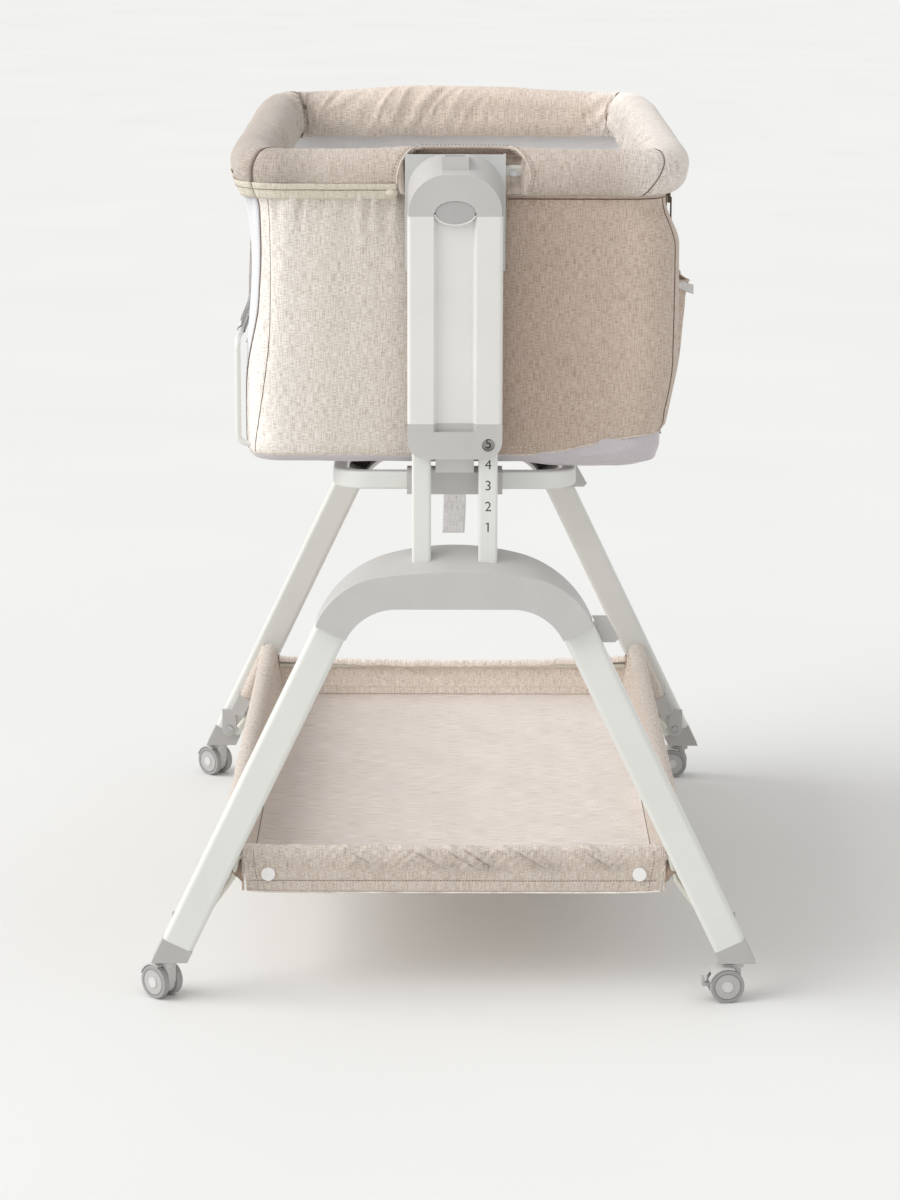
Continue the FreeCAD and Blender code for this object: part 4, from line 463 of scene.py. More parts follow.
def cloth(columns, rows, place, width, height):
    """A flat cut of cloth as a grid, with every point taken to where place(u, v) lays it. Its weave map
    keeps the flat size."""
    shape = bmesh.new()
    weave = shape.loops.layers.uv.new("weave")
    bmesh.ops.create_grid(shape, x_segments=columns, y_segments=rows, size=0.5)
    for face in shape.faces:
        for loop in face.loops:
            loop[weave].uv = ((loop.vert.co.x + 0.5) * width * MM, (loop.vert.co.y + 0.5) * height * MM)
    for point in shape.verts:
        point.co = Vector(place(point.co.x + 0.5, point.co.y + 0.5)) * MM
    bmesh.ops.remove_doubles(shape, verts=shape.verts, dist=0.00004)
    return shape


def sewn(name, shape, finish, body, stands_for=(), thick=0, offset=0, soften=0, outward=False):
    """Turns a cut into a finished piece, with the cloth's thickness and a softening pass where asked."""
    if outward:
        bmesh.ops.recalc_face_normals(shape, faces=shape.faces)
    mesh = bpy.data.meshes.new(name)
    shape.to_mesh(mesh)
    shape.free()
    made = finished(name, mesh, finish, body)
    if stands_for:
        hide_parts(*stands_for)
    if thick:
        ply = made.modifiers.new("ply", "SOLIDIFY")
        ply.thickness, ply.offset = thick * MM, offset
    if soften:
        soft = made.modifiers.new("soften", "SUBSURF")
        soft.levels = soft.render_levels = soften
    return made


def lay_weave(made):
    """Lays the weave over a small sewn part by its place."""
    weave = made.data.uv_layers.get("weave") or made.data.uv_layers.new(name="weave")
    for loop in made.data.loops:
        at = made.data.vertices[loop.vertex_index].co
        weave.data[loop.index].uv = (at.x + at.z, at.y + at.z)
    return made


def line(name, points, width, finish, body, closed=False):
    """A seam, piping or bound edge: a round bead along points."""
    curve = bpy.data.curves.new(name, "CURVE")
    curve.dimensions, curve.use_fill_caps = "3D", True
    curve.bevel_depth, curve.bevel_resolution = width / 2 * MM, 2
    run = curve.splines.new("POLY")
    run.points.add(len(points) - 1)
    for knot, at in zip(run.points, points):
        knot.co = (*(Vector(at) * MM), 1)
    run.use_cyclic_u = closed
    loose = bpy.data.objects.new(name, curve)
    bpy.context.scene.collection.objects.link(loose)
    mesh = bpy.data.meshes.new_from_object(loose)
    bpy.data.objects.remove(loose)
    return lay_weave(finished(name, mesh, finish, body))


def stitches(name, points, pitch, length, width, finish, body):
    """A row of lock stitches: small thread lozenges along points."""
    shape = bmesh.new()
    run = 0.0
    for start, end in zip(points, points[1:]):
        start, end = Vector(start), Vector(end)
        step = (end - start).length
        while run < step:
            at = start.lerp(end, run / step)
            turn = (end - start).to_track_quat("X", "Z").to_matrix().to_4x4()
            size = Matrix.Diagonal((length / 2, width / 2, width / 2, 1))
            laid = Matrix.Scale(MM, 4) @ Matrix.Translation(at) @ turn @ size
            bmesh.ops.create_uvsphere(shape, u_segments=6, v_segments=4, radius=1, matrix=laid)
            run += pitch
        run -= step
    return lay_weave(sewn(name, shape, finish, body))


def wrinkle(a, b=0.0, c=0.0):
    """Even, repeatable unevenness from -1 to 1."""
    return noise.noise((a, b, c))


def ease(value):
    """0 to 1 with soft ends."""
    value = min(1.0, max(0.0, value))
    return value * value * (3 - 2 * value)


# ---------------------------------------------------------------- storage tray
# One hammock of the heathered cloth hangs between the two side tubes, in sleeves gathered over
# them. Its ends turn up to a hem with a wire, closed by a snap at each corner.
TUBE_ACROSS, TUBE_HEIGHT, SLEEVE_RADIUS = 225.7, 172, 8.6
FLOOR_HALF, FLOOR_TOP, WALL_TOP, TRAY_HALF = 210, 108, 159, 407
SLEEVE_WRAP, SLEEVE_START = 5.2, -0.75  # radians of cloth round the tube, from under its outer side
SLEEVE_STOP, EDGE_ACROSS = 379, 217  # the tube bends down here, and past it the cloth's edge stands there

wrap_length = SLEEVE_WRAP * SLEEVE_RADIUS
side_length = 62
floor_length = 2 * FLOOR_HALF
hammock_width = 2 * (wrap_length + side_length) + floor_length


def hammock(u, v):
    """Round the left tube, down its wall, across the floor, and up to the right tube."""
    along = -TRAY_HALF + 2 * TRAY_HALF * v
    run = u * hammock_width
    side = -1 if run < hammock_width / 2 else 1
    from_edge = min(run, hammock_width - run)
    held = ease((SLEEVE_STOP - abs(along)) / 8)
    gather = wrinkle(along / 8.5, side * 3) * 1.5 + wrinkle(along / 19, side * 7) * 0.9
    if from_edge < wrap_length:
        turn = from_edge / SLEEVE_RADIUS + SLEEVE_START
        radius = SLEEVE_RADIUS + 0.6 * gather
        across, height = radius * math.cos(turn), radius * math.sin(turn)
        x, z = side * (TUBE_ACROSS + across), TUBE_HEIGHT + height
        if held < 1:
            x = x * held + side * EDGE_ACROSS * (1 - held)
            z = z * held + (WALL_TOP + 3) * (1 - held)
    elif from_edge < wrap_length + side_length:
        down = (from_edge - wrap_length) / side_length
        turn = SLEEVE_WRAP + SLEEVE_START
        start_x = TUBE_ACROSS + SLEEVE_RADIUS * math.cos(turn)
        start_z = TUBE_HEIGHT + SLEEVE_RADIUS * math.sin(turn)
        start_x = start_x * held + EDGE_ACROSS * (1 - held)
        start_z = start_z * held + (WALL_TOP + 2) * (1 - held)
        belly = 4.0 * math.sin(math.pi * min(1, down * 1.1)) * (1 - (along / TRAY_HALF) ** 4)
        x = side * (start_x + (FLOOR_HALF - start_x) * ease(down) + belly + 1.1 * gather * (1 - down) ** 2)
        z = start_z + (FLOOR_TOP + 2 - start_z) * down
    else:
        across = (run - wrap_length - side_length) / floor_length * 2 - 1
        x = across * FLOOR_HALF
        sag = (1 - across**4) * (1 - (along / TRAY_HALF) ** 4)
        folds = 3.4 * wrinkle((x + along) / 95, (along - x) / 190) + 1.3 * wrinkle(x / 34, along / 60, 4)
        z = FLOOR_TOP + 2 * abs(across) ** 12 - 4.5 * sag + sag * folds
    return x, along, z


tray_cloth = sewn(
    "tray_hammock", cloth(160, 268, hammock, hammock_width, 2 * TRAY_HALF), linen, "stand",
    ["storage_tray"], thick=1.6
)
# the floor's faces take that paler cloth, whose paleness is painted light
zoned(
    tray_cloth, tray_floor_painted_light_linen, lambda middle, normal: abs(middle.x) < FLOOR_HALF - 1 and middle.z < FLOOR_TOP + 6
)
# the gussets' cloth is the heather darkened as painted shade, where they lie under the tube's bend
gusset_linen = woven("shaded_gusset_linen", "#B8A596", "#A28F80", "#87735F")

# painted light: the tray's ends lighter at the far end, darker at the near one and lighter along the hem's
# top; the floor lighter to the right
tray_linen_painted_light = woven("tray_end_linen_painted_light", *LINEN_TONES)
shaded_by_place(
    tray_linen_painted_light, "Y", 0.41,
    [(0.0, 0.92, 0.91, 0.91), (0.1, 1.0, 1.0, 1.0), (0.9, 1.0, 1.0, 1.0), (1.0, 1.3, 1.34, 1.38)]
)
shaded_by_place(tray_linen_painted_light, "Z", 0.2, [(0.0, 1.0, 1.0, 1.0), (0.85, 1.0, 1.0, 1.0), (0.89, 1.16, 1.18, 1.21)])
shaded_by_place(
    tray_floor_painted_light_linen, "X", 0.21, [(0.0, 0.99, 0.99, 0.99), (0.5, 1.02, 1.02, 1.02), (1.0, 1.17, 1.2, 1.21)]
)
HEM_TOP, HEM_DEPTH, HEM_ROLL = 158.5, 47, 13  # the cloth goes up, then rolls over the wire
FOOT_SEAM, HEM_END = 12, 0.945  # how far up the foot's stitches run, and how far out the upright ones
for end, facing in zip(ends, (-1, 1)):

    def end_wall(u, v, facing=facing):
        """Up from the floor's edge, over the wire, and down to the hem's stitching inside."""
        x = (u * 2 - 1) * (FLOOR_HALF + 5 * ease(v * 1.6))
        run = v * (HEM_DEPTH + HEM_ROLL)
        uneven = 0.9 * wrinkle(x / 9, facing * 2) + 2.2 * wrinkle(x / 24, 5 + facing)
        pucker = uneven * ease(v * 2) * (1 if facing < 0 else 0.3)
        ridge = wrinkle((x + run * 1.6) / 17, facing)
        creases = 15 * abs(ridge) + 3 * abs(wrinkle((x - run) / 11, facing, 6)) + 0.8
        by_snap = 0.25 + 0.75 * ease((178 - abs(x)) / 14)  # the snaps hold the cloth flat
        slant = creases * ease((run - 20) / 14) * by_snap * (1 if facing < 0 else 0.4)
        slant += 0.8 * wrinkle(x / 60, run / 20, 2)
        if run < HEM_DEPTH:
            out = 405.3 + 0.6 * pucker + 1.2 * math.sin(math.pi * run / HEM_DEPTH) + slant
            out -= 0.9 * math.exp(-(((run - FOOT_SEAM) / 1.5) ** 2))
            z = FLOOR_TOP + 1 + run * 0.97 + 1.3 * pucker * (run / HEM_DEPTH)
        else:
            turn = (run - HEM_DEPTH) / HEM_ROLL
            roll = min(1.0, turn / 0.75) * math.pi
            out = 403 + 2.8 * math.cos(roll) + 0.5 * pucker + slant * (1 - min(1.0, turn / 0.5))
            z = HEM_TOP - 3.6 + 3 * math.sin(roll) + 1.4 * pucker - max(0, turn - 0.75) * HEM_ROLL
        z -= (5.5 if facing > 0 else 1.5) * (1 - (x / 215) ** 2) * run / HEM_DEPTH
        return x, facing * out, z

    wall = sewn(
        f"{end}_tray_end", cloth(215, 40, end_wall, 430, HEM_DEPTH + HEM_ROLL), tray_linen_painted_light, "stand",
        thick=1.4
    )
    proud = Vector((0, facing * 1.0, 0))
    thread = [Vector(end_wall(k / 140, FOOT_SEAM / (HEM_DEPTH + HEM_ROLL))) + proud for k in range(2, 139)]
    stitches(f"{end}_tray_foot_stitches", thread, 3.2, 2.6, 0.7, seam_thread, "stand")
    for side, where in zip((-1, 1), sides):
        # turned end of the hem, and the shaded gusset that closes the corner under the tube's bend
        upright = [Vector(end_wall((side * HEM_END + 1) / 2, k / 30)) + proud for k in range(1, 24)]
        stitches(f"{end}_{where}_hem_stitches", upright, 3.2, 2.4, 0.6, seam_thread, "stand")
        turned_edge = [(side * 214.2, facing * 406, z) for z in range(110, 157, 4)]
        line(f"{end}_{where}_hem_binding", turned_edge, 2.6, tray_linen_painted_light, "stand")

        def gusset(u, v, side=side, facing=facing):
            x = side * (214 + 15 * u + 1.5 * wrinkle(u * 4, v * 5, side))
            z = 160 - 42 * v * (1 - 0.35 * u) + 3 * wrinkle(u * 3, v * 3, 2 + side)
            return x, facing * (404 - 16 * u * (1 - v) - 3 * math.sin(v * 5)), z

        name = f"{end}_{where}_tray_gusset"
        flap = sewn(name, cloth(10, 16, gusset, 22, 48), gusset_linen, "stand", thick=1.2, soften=1)
for side, where in zip((-1, 1), sides):
    # the dark seam down the inner side of each sleeve, and the stitched line at the floor
    under_sleeve, above_floor = side * (TUBE_ACROSS - 6.4), FLOOR_TOP + 2.6
    seam = [(under_sleeve, y, TUBE_HEIGHT - 8.2 + 0.5 * wrinkle(y / 9)) for y in range(-376, 377, 8)]
    line(f"{where}_sleeve_seam", seam, 1.5, seam_thread, "stand")
    seam = [(side * (FLOOR_HALF - 1), y, above_floor) for y in range(-400, 401, 10)]
    line(f"{where}_floor_seam", seam, 1.1, seam_thread, "stand")
    for end, facing in zip(ends, (-1, 1)):

        def end_sleeve(u, v, side=side, facing=facing):
            """The sleeve goes on down the sloping end of the tube, to its clip."""
            start, stop = Vector((side * 227.5, facing * 404, 169)), Vector((side * 262, facing * 404, 93))
            axis = (stop - start).normalized()
            flat = Vector((0, facing, 0))
            third = axis.cross(flat)
            radius = 8.0 + 0.8 * wrinkle(v * 14, u * 6, side + facing)
            turn = u * 2 * math.pi
            return start.lerp(stop, v) + (flat * math.cos(turn) + third * math.sin(turn)) * radius

        sleeve = sewn(
            f"{end}_{where}_end_sleeve", cloth(28, 40, end_sleeve, 50, 84), linen, "stand",
            thick=0.8, offset=-1
        )

# ---------------------------------------------------------------- post details
# A thin bright lip is moulded under each oval height button, and a bead frames the number window.
BUTTON_HEIGHT, LIP_WIDE, LIP_TALL = 802.5, 19.9, 11.7
WINDOW_ACROSS, WINDOW_RADIUS = 32.8, 6.7


def oval(degrees, across, y, height, wide, tall):
    """Points on an upright oval, at these degrees round it."""
    return [(across + wide * math.cos(a), y, height + tall * math.sin(a)) for a in map(math.radians, degrees)]


for end, facing, nearest in zip(ends, (-1, 1), (0, 1)):
    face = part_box(f"{end}_post_sleeve")[nearest].y / MM
    lip = oval(range(188, 353, 5), 0, face - facing * 0.6, BUTTON_HEIGHT, LIP_WIDE, LIP_TALL)
    line(f"{end}_button_lip", lip, 1.5, warm_white_abs, "basket")
    bead = oval(
        range(0, 360, 12), WINDOW_ACROSS, face - facing * 0.1, FIRST_LEVEL, WINDOW_RADIUS, WINDOW_RADIUS
    )
    line(f"{end}_window_bead", bead, 0.7, grey_abs, "basket", closed=True)

# ---------------------------------------------------------------- padded rim
# A foam-padded cover of the heathered cloth is drawn round the rim tube. It is cut out where the
# posts hold the tube, its corners are pieced with curved seams, and one side comes away with the
# drop side.


def around(half_x, half_y, corner, along):
    """Point and outward direction on a rounded rectangle, along mm from the middle of the near side and
    round by the right."""
    x, y, bend = half_x - corner, half_y - corner, math.pi / 2 * corner
    runs = [
        (x, (0, -half_y), -90, 0), (bend, (x, -y), -90, 1), (2 * y, (half_x, -y), 0, 0), (bend, (x, y), 0, 1),
        (2 * x, (x, half_y), 90, 0)
    ]
    runs += [
        (bend, (-x, y), 90, 1), (2 * y, (-half_x, y), 180, 0), (bend, (-x, -y), 180, 1),
        (x + 1, (-x, -half_y), 270, 0)
    ]
    for length, start, facing, bends in runs:
        if along <= length:
            break
        along -= length
    angle = math.radians(facing) + bends * along / corner
    out = (math.cos(angle), math.sin(angle))
    if bends:
        return start[0] + corner * out[0], start[1] + corner * out[1], out[0], out[1]
    return start[0] - out[1] * along, start[1] + out[0] * along, out[0], out[1]


def perimeter(half_x, half_y, corner):
    return 4 * (half_x + half_y - 2 * corner) + 2 * math.pi * corner


# painted light and shade round the rim: darker on its left and near sides, lighter on its right and far sides
rim_linen_painted_light = woven("rim_linen_look", *LINEN_TONES)
shaded_by_place(
    rim_linen_painted_light, "X", 0.24,
    [
        (0.0, 0.95, 0.95, 0.95), (0.06, 0.8, 0.79, 0.79), (0.15, 0.74, 0.73, 0.73), (0.24, 1.0, 1.0, 1.0),
        (0.55, 0.95, 0.93, 0.92), (0.82, 0.93, 0.91, 0.91), (0.91, 1.24, 1.3, 1.37), (1.0, 1.18, 1.24, 1.3)
    ]
)
shaded_by_place(
    rim_linen_painted_light, "Y", 0.41,
    [
        (0.0, 0.88, 0.87, 0.87), (0.09, 0.93, 0.92, 0.92), (0.88, 1.0, 1.0, 1.0), (0.93, 1.2, 1.2, 1.2),
        (1.0, 1.2, 1.2, 1.2)
    ]
)
RIM, RIM_HEIGHT, PAD_RADIUS = (199, 380, 32), 836, 23.4
SLIDER_CLEARANCE = 814.6  # the zip's slider runs under the right side
SPLIT_AT, SPLIT_GAP = 189.3, 0.4  # the drop side's seams, along the rim from the middle of each end
rim_round = perimeter(*RIM)
corner_seam = (RIM[0] - RIM[2]) + math.pi / 4 * RIM[2] - 12
right_seams = [corner_seam, rim_round / 2 - corner_seam]
split_seams = [rim_round / 2 + SPLIT_AT, rim_round - SPLIT_AT]


def seam_lean(turn):
    """How far along the rim the right corners' seams lean at this place round the pad."""
    return 8 * math.sin(turn) + 4


def cutout_edges(z):
    """The left and right edge of the cover's cut-out at this height, rounded at the top."""
    rise = min(1.0, max(0.0, (z - 828) / 31.5))
    pinch = 22 * (1 - math.sqrt(1 - rise * rise))
    return -57 + pinch, 74 - pinch - 5 * ease((840 - z) / 26)


def drawn(x, y):
    """How far the basket's cloth stands off its frame: it is pulled towards the right side."""
    full = ease((y + 395) / 130)  # nothing at the near corners
    right, left = ease((x - 100) / 80), ease((-x - 100) / 80)
    return (5 + 8 * full) * right + (3 - 8 * full * ease((y + 370) / 120)) * left


def crowned(x, y):
    """How far the cover's top is off its even height: up over the brackets, down at the far corners."""
    over_bracket = 2.5 * (1 - ease((abs(x) - 30) / 80)) * ease((abs(y) - 330) / 40)
    return over_bracket - 5 * ease((abs(x) - 60) / 140) * ease((y - 200) / 180)


def pad(run, turn, proud=0.0):
    """The cover at a place along the rim and round it, from its outer side over the top."""
    run %= rim_round
    x, y, out_x, out_y = around(*RIM, run)
    out, up = PAD_RADIUS * math.cos(turn), PAD_RADIUS * math.sin(turn)
    px, py = x + out_x * out, y + out_y * out
    seams = [run - p - seam_lean(turn) * (1 if p < rim_round / 4 else -1) for p in right_seams]
    seams += [run - p for p in split_seams]
    in_corner = sum(math.exp(-((away / 38) ** 2)) for away in seams)
    by_post = math.exp(-(((abs(x) - 84) / 20) ** 2)) * (abs(y) > 340)
    inner = ease(-math.cos(turn) * 1.3)
    radius = PAD_RADIUS + proud
    radius += 1.0 * wrinkle(px / 60, py / 60, up / 60) + 0.5 * wrinkle(px / 17, py / 17, up / 17)
    # slanting folds where the cover is drawn tight round its inner side: sharp ridges in loose patches
    slant = wrinkle((run - 20 * (turn - math.pi)) / 21, turn * 0.3, 9)
    loose = ease(1.6 * wrinkle(run / 95, 3.3) + 0.55) + 0.7 * in_corner
    skirt = 1 - 0.85 * ease((-math.sin(turn) - 0.3) / 0.5)  # the skirt's foot hangs straight
    radius += inner * skirt * loose * (3.8 * max(0.0, 1 - abs(slant) * 5) + 3.6 * slant)
    ruffle = 1.1 * wrinkle(run / 7.5 + up / 20, out / 24, 4)
    radius += (0.4 + 0.6 * ease(math.sin(turn))) * (0.5 * in_corner + by_post) * ruffle
    lower = ease((-math.sin(turn) - 0.55) / 0.4)
    radius += lower * 0.7 * wrinkle(run / 8, 3)
    for away in seams:
        radius -= 1.3 * math.exp(-((away / 1.8) ** 2)) - 0.6 * math.exp(-(((abs(away) - 5) / 3.5) ** 2))
    out, up = radius * math.cos(turn), radius * 0.98 * math.sin(turn)
    if up < 0:  # inside, the cover is cut deeper and hangs as a flat skirt
        up *= 1 + 0.75 * ease(-math.cos(turn) * 1.6)
        out *= 1 + 0.25 * ease(-math.sin(turn) * 1.5) * (out < 0)
    px, py, pz = x + out_x * out, y + out_y * out, RIM_HEIGHT + up
    px += drawn(px, py)
    pz += crowned(px, py) * ease((up + 20) / 36)
    if px > 198 and abs(py) < 352:
        pz = max(pz, SLIDER_CLEARANCE)
    # the cut-out at each post: turned in to the lining behind the tube, and lying over the bracket
    left, right = cutout_edges(pz)
    inside = ease((px - left) / 4) * ease((right - px) / 4)
    back = 368 + 13 * ease((pz - 849) / 6)
    if inside and abs(py) > back and pz > 817:
        if abs(py) - back < pz - 817:
            py = math.copysign(abs(py) + (back - abs(py)) * inside, py)
        else:
            pz += (817 - pz) * inside
    return px, py, pz


def lined(middle, normal):
    """The part of the cut-out that shows its lining, toned dark as painted shade; over the tube, where it
    faces out, that dark is painted shadow in the gap.
    """
    left, right = cutout_edges(middle.z)
    if not (left + 1 < middle.x < right - 1 and 816 < middle.z < 859):
        return False
    if middle.z > 848:
        return 378 < abs(middle.y) < 383 and normal.y * middle.y > 200
    return 367 < abs(middle.y) < (370 if middle.z > 818.5 else 400)


fixed_ends = (SPLIT_GAP - SPLIT_AT, split_seams[0] - SPLIT_GAP)
drop_ends = (split_seams[0] + SPLIT_GAP, split_seams[1] - SPLIT_GAP)
for name, body, node, (first, last) in (
    ("rim_pad_cover", "basket", "rim_pad", fixed_ends),
    ("drop_rim_pad_cover", "drop_side", "drop_rim_pad", drop_ends),
):

    def pad_place(u, v, first=first, last=last):
        return pad(first + (last - first) * u, v * 2 * math.pi)

    tube = cloth(int((last - first) / 2.5), 44, pad_place, last - first, 2 * math.pi * PAD_RADIUS)
    closed = bmesh.ops.holes_fill(tube, edges=[edge for edge in tube.edges if edge.is_boundary], sides=0)
    bmesh.ops.inset_region(tube, faces=closed["faces"], thickness=2.5 * MM, depth=-0.8 * MM)
    cover = sewn(name, tube, rim_linen_painted_light, body, [node], outward=True)
    zoned(cover, taupe_lining_and_shade, lined)

for where, p in zip(ends, right_seams):
    lean = 1 if where == "near" else -1
    turns = [math.radians(d) for d in range(-80, 231, 6)]
    seam = [pad(p + seam_lean(t) * lean, t, 0.7) for t in turns]
    line(f"{where}_rim_corner_seam", seam, 0.9, seam_thread, "basket")

# the cover's seams where the drop side comes away, in the two left corners
for where, p in zip(ends, (split_seams[1] + SPLIT_GAP + 0.7, split_seams[0] - SPLIT_GAP - 0.7)):
    seam = [pad(p, math.radians(d), 0.9) for d in range(-60, 241, 6)]
    line(f"{where}_rim_split_seam", seam, 0.9, seam_thread, "basket")


COVER_WIDE, COVER_TALL = 24.0, 23.6


def on_cover(x, degrees, facing, share=1.0):
    """A place on the outside of the cover at an end, degrees round it."""
    turn = math.radians(degrees)
    out, up = COVER_WIDE * math.cos(turn) * share, COVER_TALL * math.sin(turn) * share
    y = facing * (RIM[1] + out)
    return x, y, RIM_HEIGHT + up + crowned(x, y) * ease((up + 20) / 36)


for end, facing in zip(ends, (-1, 1)):
    for side, where in enumerate(sides):
        bound, sewing = [], []
        for degrees in range(84 if facing < 0 else 64, -56, -4):
            edge = cutout_edges(RIM_HEIGHT + COVER_TALL * math.sin(math.radians(degrees)))[side]
            bound.append(on_cover(edge, degrees, facing))
            sewing.append(on_cover(edge + (side * 2 - 1) * 4.5, degrees, facing, 1.01))
        line(f"{end}_cutout_piping_{where}", bound, 2.0, linen, "basket")
        stitches(f"{end}_cutout_stitches_{where}", sewing, 3.6, 2.0, 0.6, seam_thread, "basket")
    if facing < 0:
        sewing = [on_cover(x, 93, facing, 1.03) for x in range(-32, 53, 3)]
        stitches("near_cutout_stitches_top", sewing, 3.6, 2.0, 0.6, seam_thread, "basket")
    lip = [(x, facing * (RIM[1] + 14.6), 816.6 + 0.3 * wrinkle(x / 9)) for x in range(-55, 70, 5)]
    line(f"{end}_cutout_lip", lip, 1.6, linen, "basket")

# ---------------------------------------------------------------- base ring
# The ring under the basket is a flat-sided steel tube, so it is drawn with that section on the
# frame's own path.
ring_low, ring_high = (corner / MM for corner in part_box("base_ring"))
RING_DEPTH, RING_EDGE, RING_BEND = 14, 2.6, 27
ring_middle = (ring_high.x - RING_DEPTH / 2, ring_high.y - RING_DEPTH / 2, RING_BEND)
ring_section = (RING_DEPTH / 2, (ring_high.z - ring_low.z) / 2, RING_EDGE)


def ring(u, v):
    """Along the ring, and round its section."""
    x, y, out_x, out_y = around(*ring_middle, u * perimeter(*ring_middle))
    out, up, _, _ = around(*ring_section, v * perimeter(*ring_section))
    return x + out_x * out, y + out_y * out, (ring_low.z + ring_high.z) / 2 + up


sewn(
    "base_ring_tube", cloth(300, 56, ring, 1900, 60), white_powder_coat, "basket",
    ["base_ring"], outward=True
)

# ---------------------------------------------------------------- fabric walls
# The walls are one band of the heathered cloth hung from the rim, seamed at the corners and open
# for the drop side. A white knitted lining hangs inside it, clear of the board.
WALL, WALL_FOOT, WALL_HEAD = (208, 388, 35), 556, 812
wall_round = perimeter(*WALL)
WINDOW_HALF, WINDOW_FOOT = 326, 660
NET_FOOT, LINING_FOOT = 580, 571


def zip_share(x, y):
    """1 where the wall is gathered into the zip: the near side left of the post, and its corner."""
    return ease((-52 - x) / 8) * ease((-340 - y) / 20)


def hem_rise(x, y):
    """The hem rides up towards the near right corner, as in the photograph."""
    if y < -340:
        return 20 * ease((x - 68) / 130)
    return 20 * ease((-y - 255) / 90) if x > 0 else 0.0


def wall_reach(x, y):
    """Heights of the wall's hem and of its upper edge, which is sewn up under the rim's cover."""
    return WALL_FOOT + hem_rise(x, y), WALL_HEAD + 5.5 * max(zip_share(x, y), ease((x + 150) / 20))


def loose_corner(x, y, z):
    """How far the slack near right corner stands out."""
    return 14 * ease((x - 150) / 55) * ease((-y - 240) / 110) * ease((808 - z) / 45) * ease((z - 552) / 100)


def leans_in(x, z):
    """How far the left side leans in towards the rim's middle line."""
    return 7.5 * ease((z - 610) / 160) * ease((-x - 165) / 25)


def wall(u, v):
    """Along the wall from the middle of the near side, and up from its hem."""
    run = u * wall_round
    x, y, out_x, out_y = around(*WALL, run)
    gathered = zip_share(x, y)
    foot, head = wall_reach(x, y)
    z = foot + (head - foot) * v
    below = head - z
    out = 1.1 * wrinkle(run / 75, z / 130) + 0.5 * wrinkle(run / 28, z / 95, 2) - 0.6
    ripple = wrinkle(run / 7.5, below / 160) + 0.9 * wrinkle(run / 13, below / 200, 5)
    out += (0.5 + 8.5 * gathered) * ripple * math.exp(-below / 22) * ease(below / 3 + 0.25)
    out += 9.0 * gathered * math.exp(-below / 10)
    out += 1.28 * gathered * math.exp(-(((below - 30) / 24) ** 2))
    out -= 3.0 * math.exp(-(z - foot) / 4)
    out += loose_corner(x, y, z) - leans_in(x, z)
    # slanting folds above the hem, where it is hitched up at the near right corner
    hitched = ease((x - 40) / 80) * ease((-y - 300) / 40) * math.exp(-(z - foot) / 22)
    out += hitched * (2.6 * wrinkle((x + 2.2 * (z - foot)) / 24, 1.5, 7) + 1.2 * wrinkle((x - z) / 11, 4))
    for seam in wall_seams(z):
        away = abs(run - seam)
        out -= 0.6 * math.exp(-((away / 1.6) ** 2)) - 0.35 * math.exp(-(((away - 4) / 3) ** 2))
    return x + out_x * out, y + out_y * out, z


def wall_seams(z):
    """How far along the wall's outline its upright seams stand at this height: one in each right corner,
    then two in each left one, where the net's edge waves."""
    linen_edge = 72.5 - 33 * max(0.0, (690 - z) / 131) ** 1.6
    net_edge = 51 - 4.5 * min(1.0, (812 - z) / 100) - 42 * ease((711 - z) / 109)
    straight, bend = WALL[0] - WALL[2], WALL[2]
    right, outer, inner = (
        straight + bend * math.radians(90 - degrees) for degrees in (27.7, linen_edge, net_edge)
    )
    half = wall_round / 2
    return [right, half - right, half + outer, half + inner, wall_round - inner, wall_round - outer]


def wall_at(run, z):
    """The wall's surface at a place along its outline and a height."""
    x, y, _, _ = around(*WALL, run)
    foot, head = wall_reach(x, y)
    return wall(run / wall_round, min(1.0, max(0.0, (z - foot) / (head - foot))))


def windowed(shape):
    """Opens the drop side's window in a wall or lining."""
    gone = []
    for face in shape.faces:
        middle = face.calc_center_median() / MM
        if middle.x < -190 and abs(middle.y) < WINDOW_HALF and middle.z > WINDOW_FOOT:
            gone.append(face)
    bmesh.ops.delete(shape, geom=gone, context="FACES")
    return shape


# The near wall is lit through on its left, beside the net, and stands in the post's shade on its right. That
# light and shade are painted into the cloth's tone: lighter on the left, darker on the right.
wall_linen_painted_light = woven("wall_linen_look", *LINEN_TONES)
shaded_by_place(
    wall_linen_painted_light, "X", 0.21,
    [
        (0.0, 1.42, 1.54, 1.66), (0.1, 1.22, 1.3, 1.36), (0.2, 1.08, 1.12, 1.15), (0.42, 1.01, 1.03, 1.06),
        (0.6, 0.75, 0.67, 0.63), (1.0, 0.83, 0.78, 0.75)
    ]
)

walls = sewn(
    "basket_wall_cloth", windowed(cloth(740, 60, wall, wall_round, 256)), wall_linen_painted_light, "basket",
    ["basket_walls"], thick=1.2, outward=True
)

# White knitted spacer mesh: a soft white net with small round holes, 2 mm apart.


def knitted_mesh(name, light, dark, openness=0.35):
    material, shader = new_finish(name, {"Roughness": 0.8, "Specular IOR Level": 0.25, "Sheen Weight": 0.2})
    cut = add(material, "UVMap", {"uv_map": "weave"}, {})
    rows = add(material, "Mapping", {}, {"Vector": cut.outputs["UV"], "Scale": (1 / 0.0021, 1 / 0.0021, 1)})
    cell = add(
        material, "TexVoronoi", {"voronoi_dimensions": "2D"},
        {"Vector": rows.outputs[0], "Scale": 1.0, "Randomness": 0.18}
    )
    tone = add(material, "ValToRGB", tones(dark, light, 0.16, 0.34), {"Fac": cell.outputs["Distance"]})
    join(material, tone.outputs["Color"], shader.inputs["Base Color"])
    relief = add(
        material, "Bump", {}, {"Height": cell.outputs["Distance"], "Strength": openness, "Distance": 0.0006}
    )
    join(material, relief.outputs["Normal"], shader.inputs["Normal"])
    return material


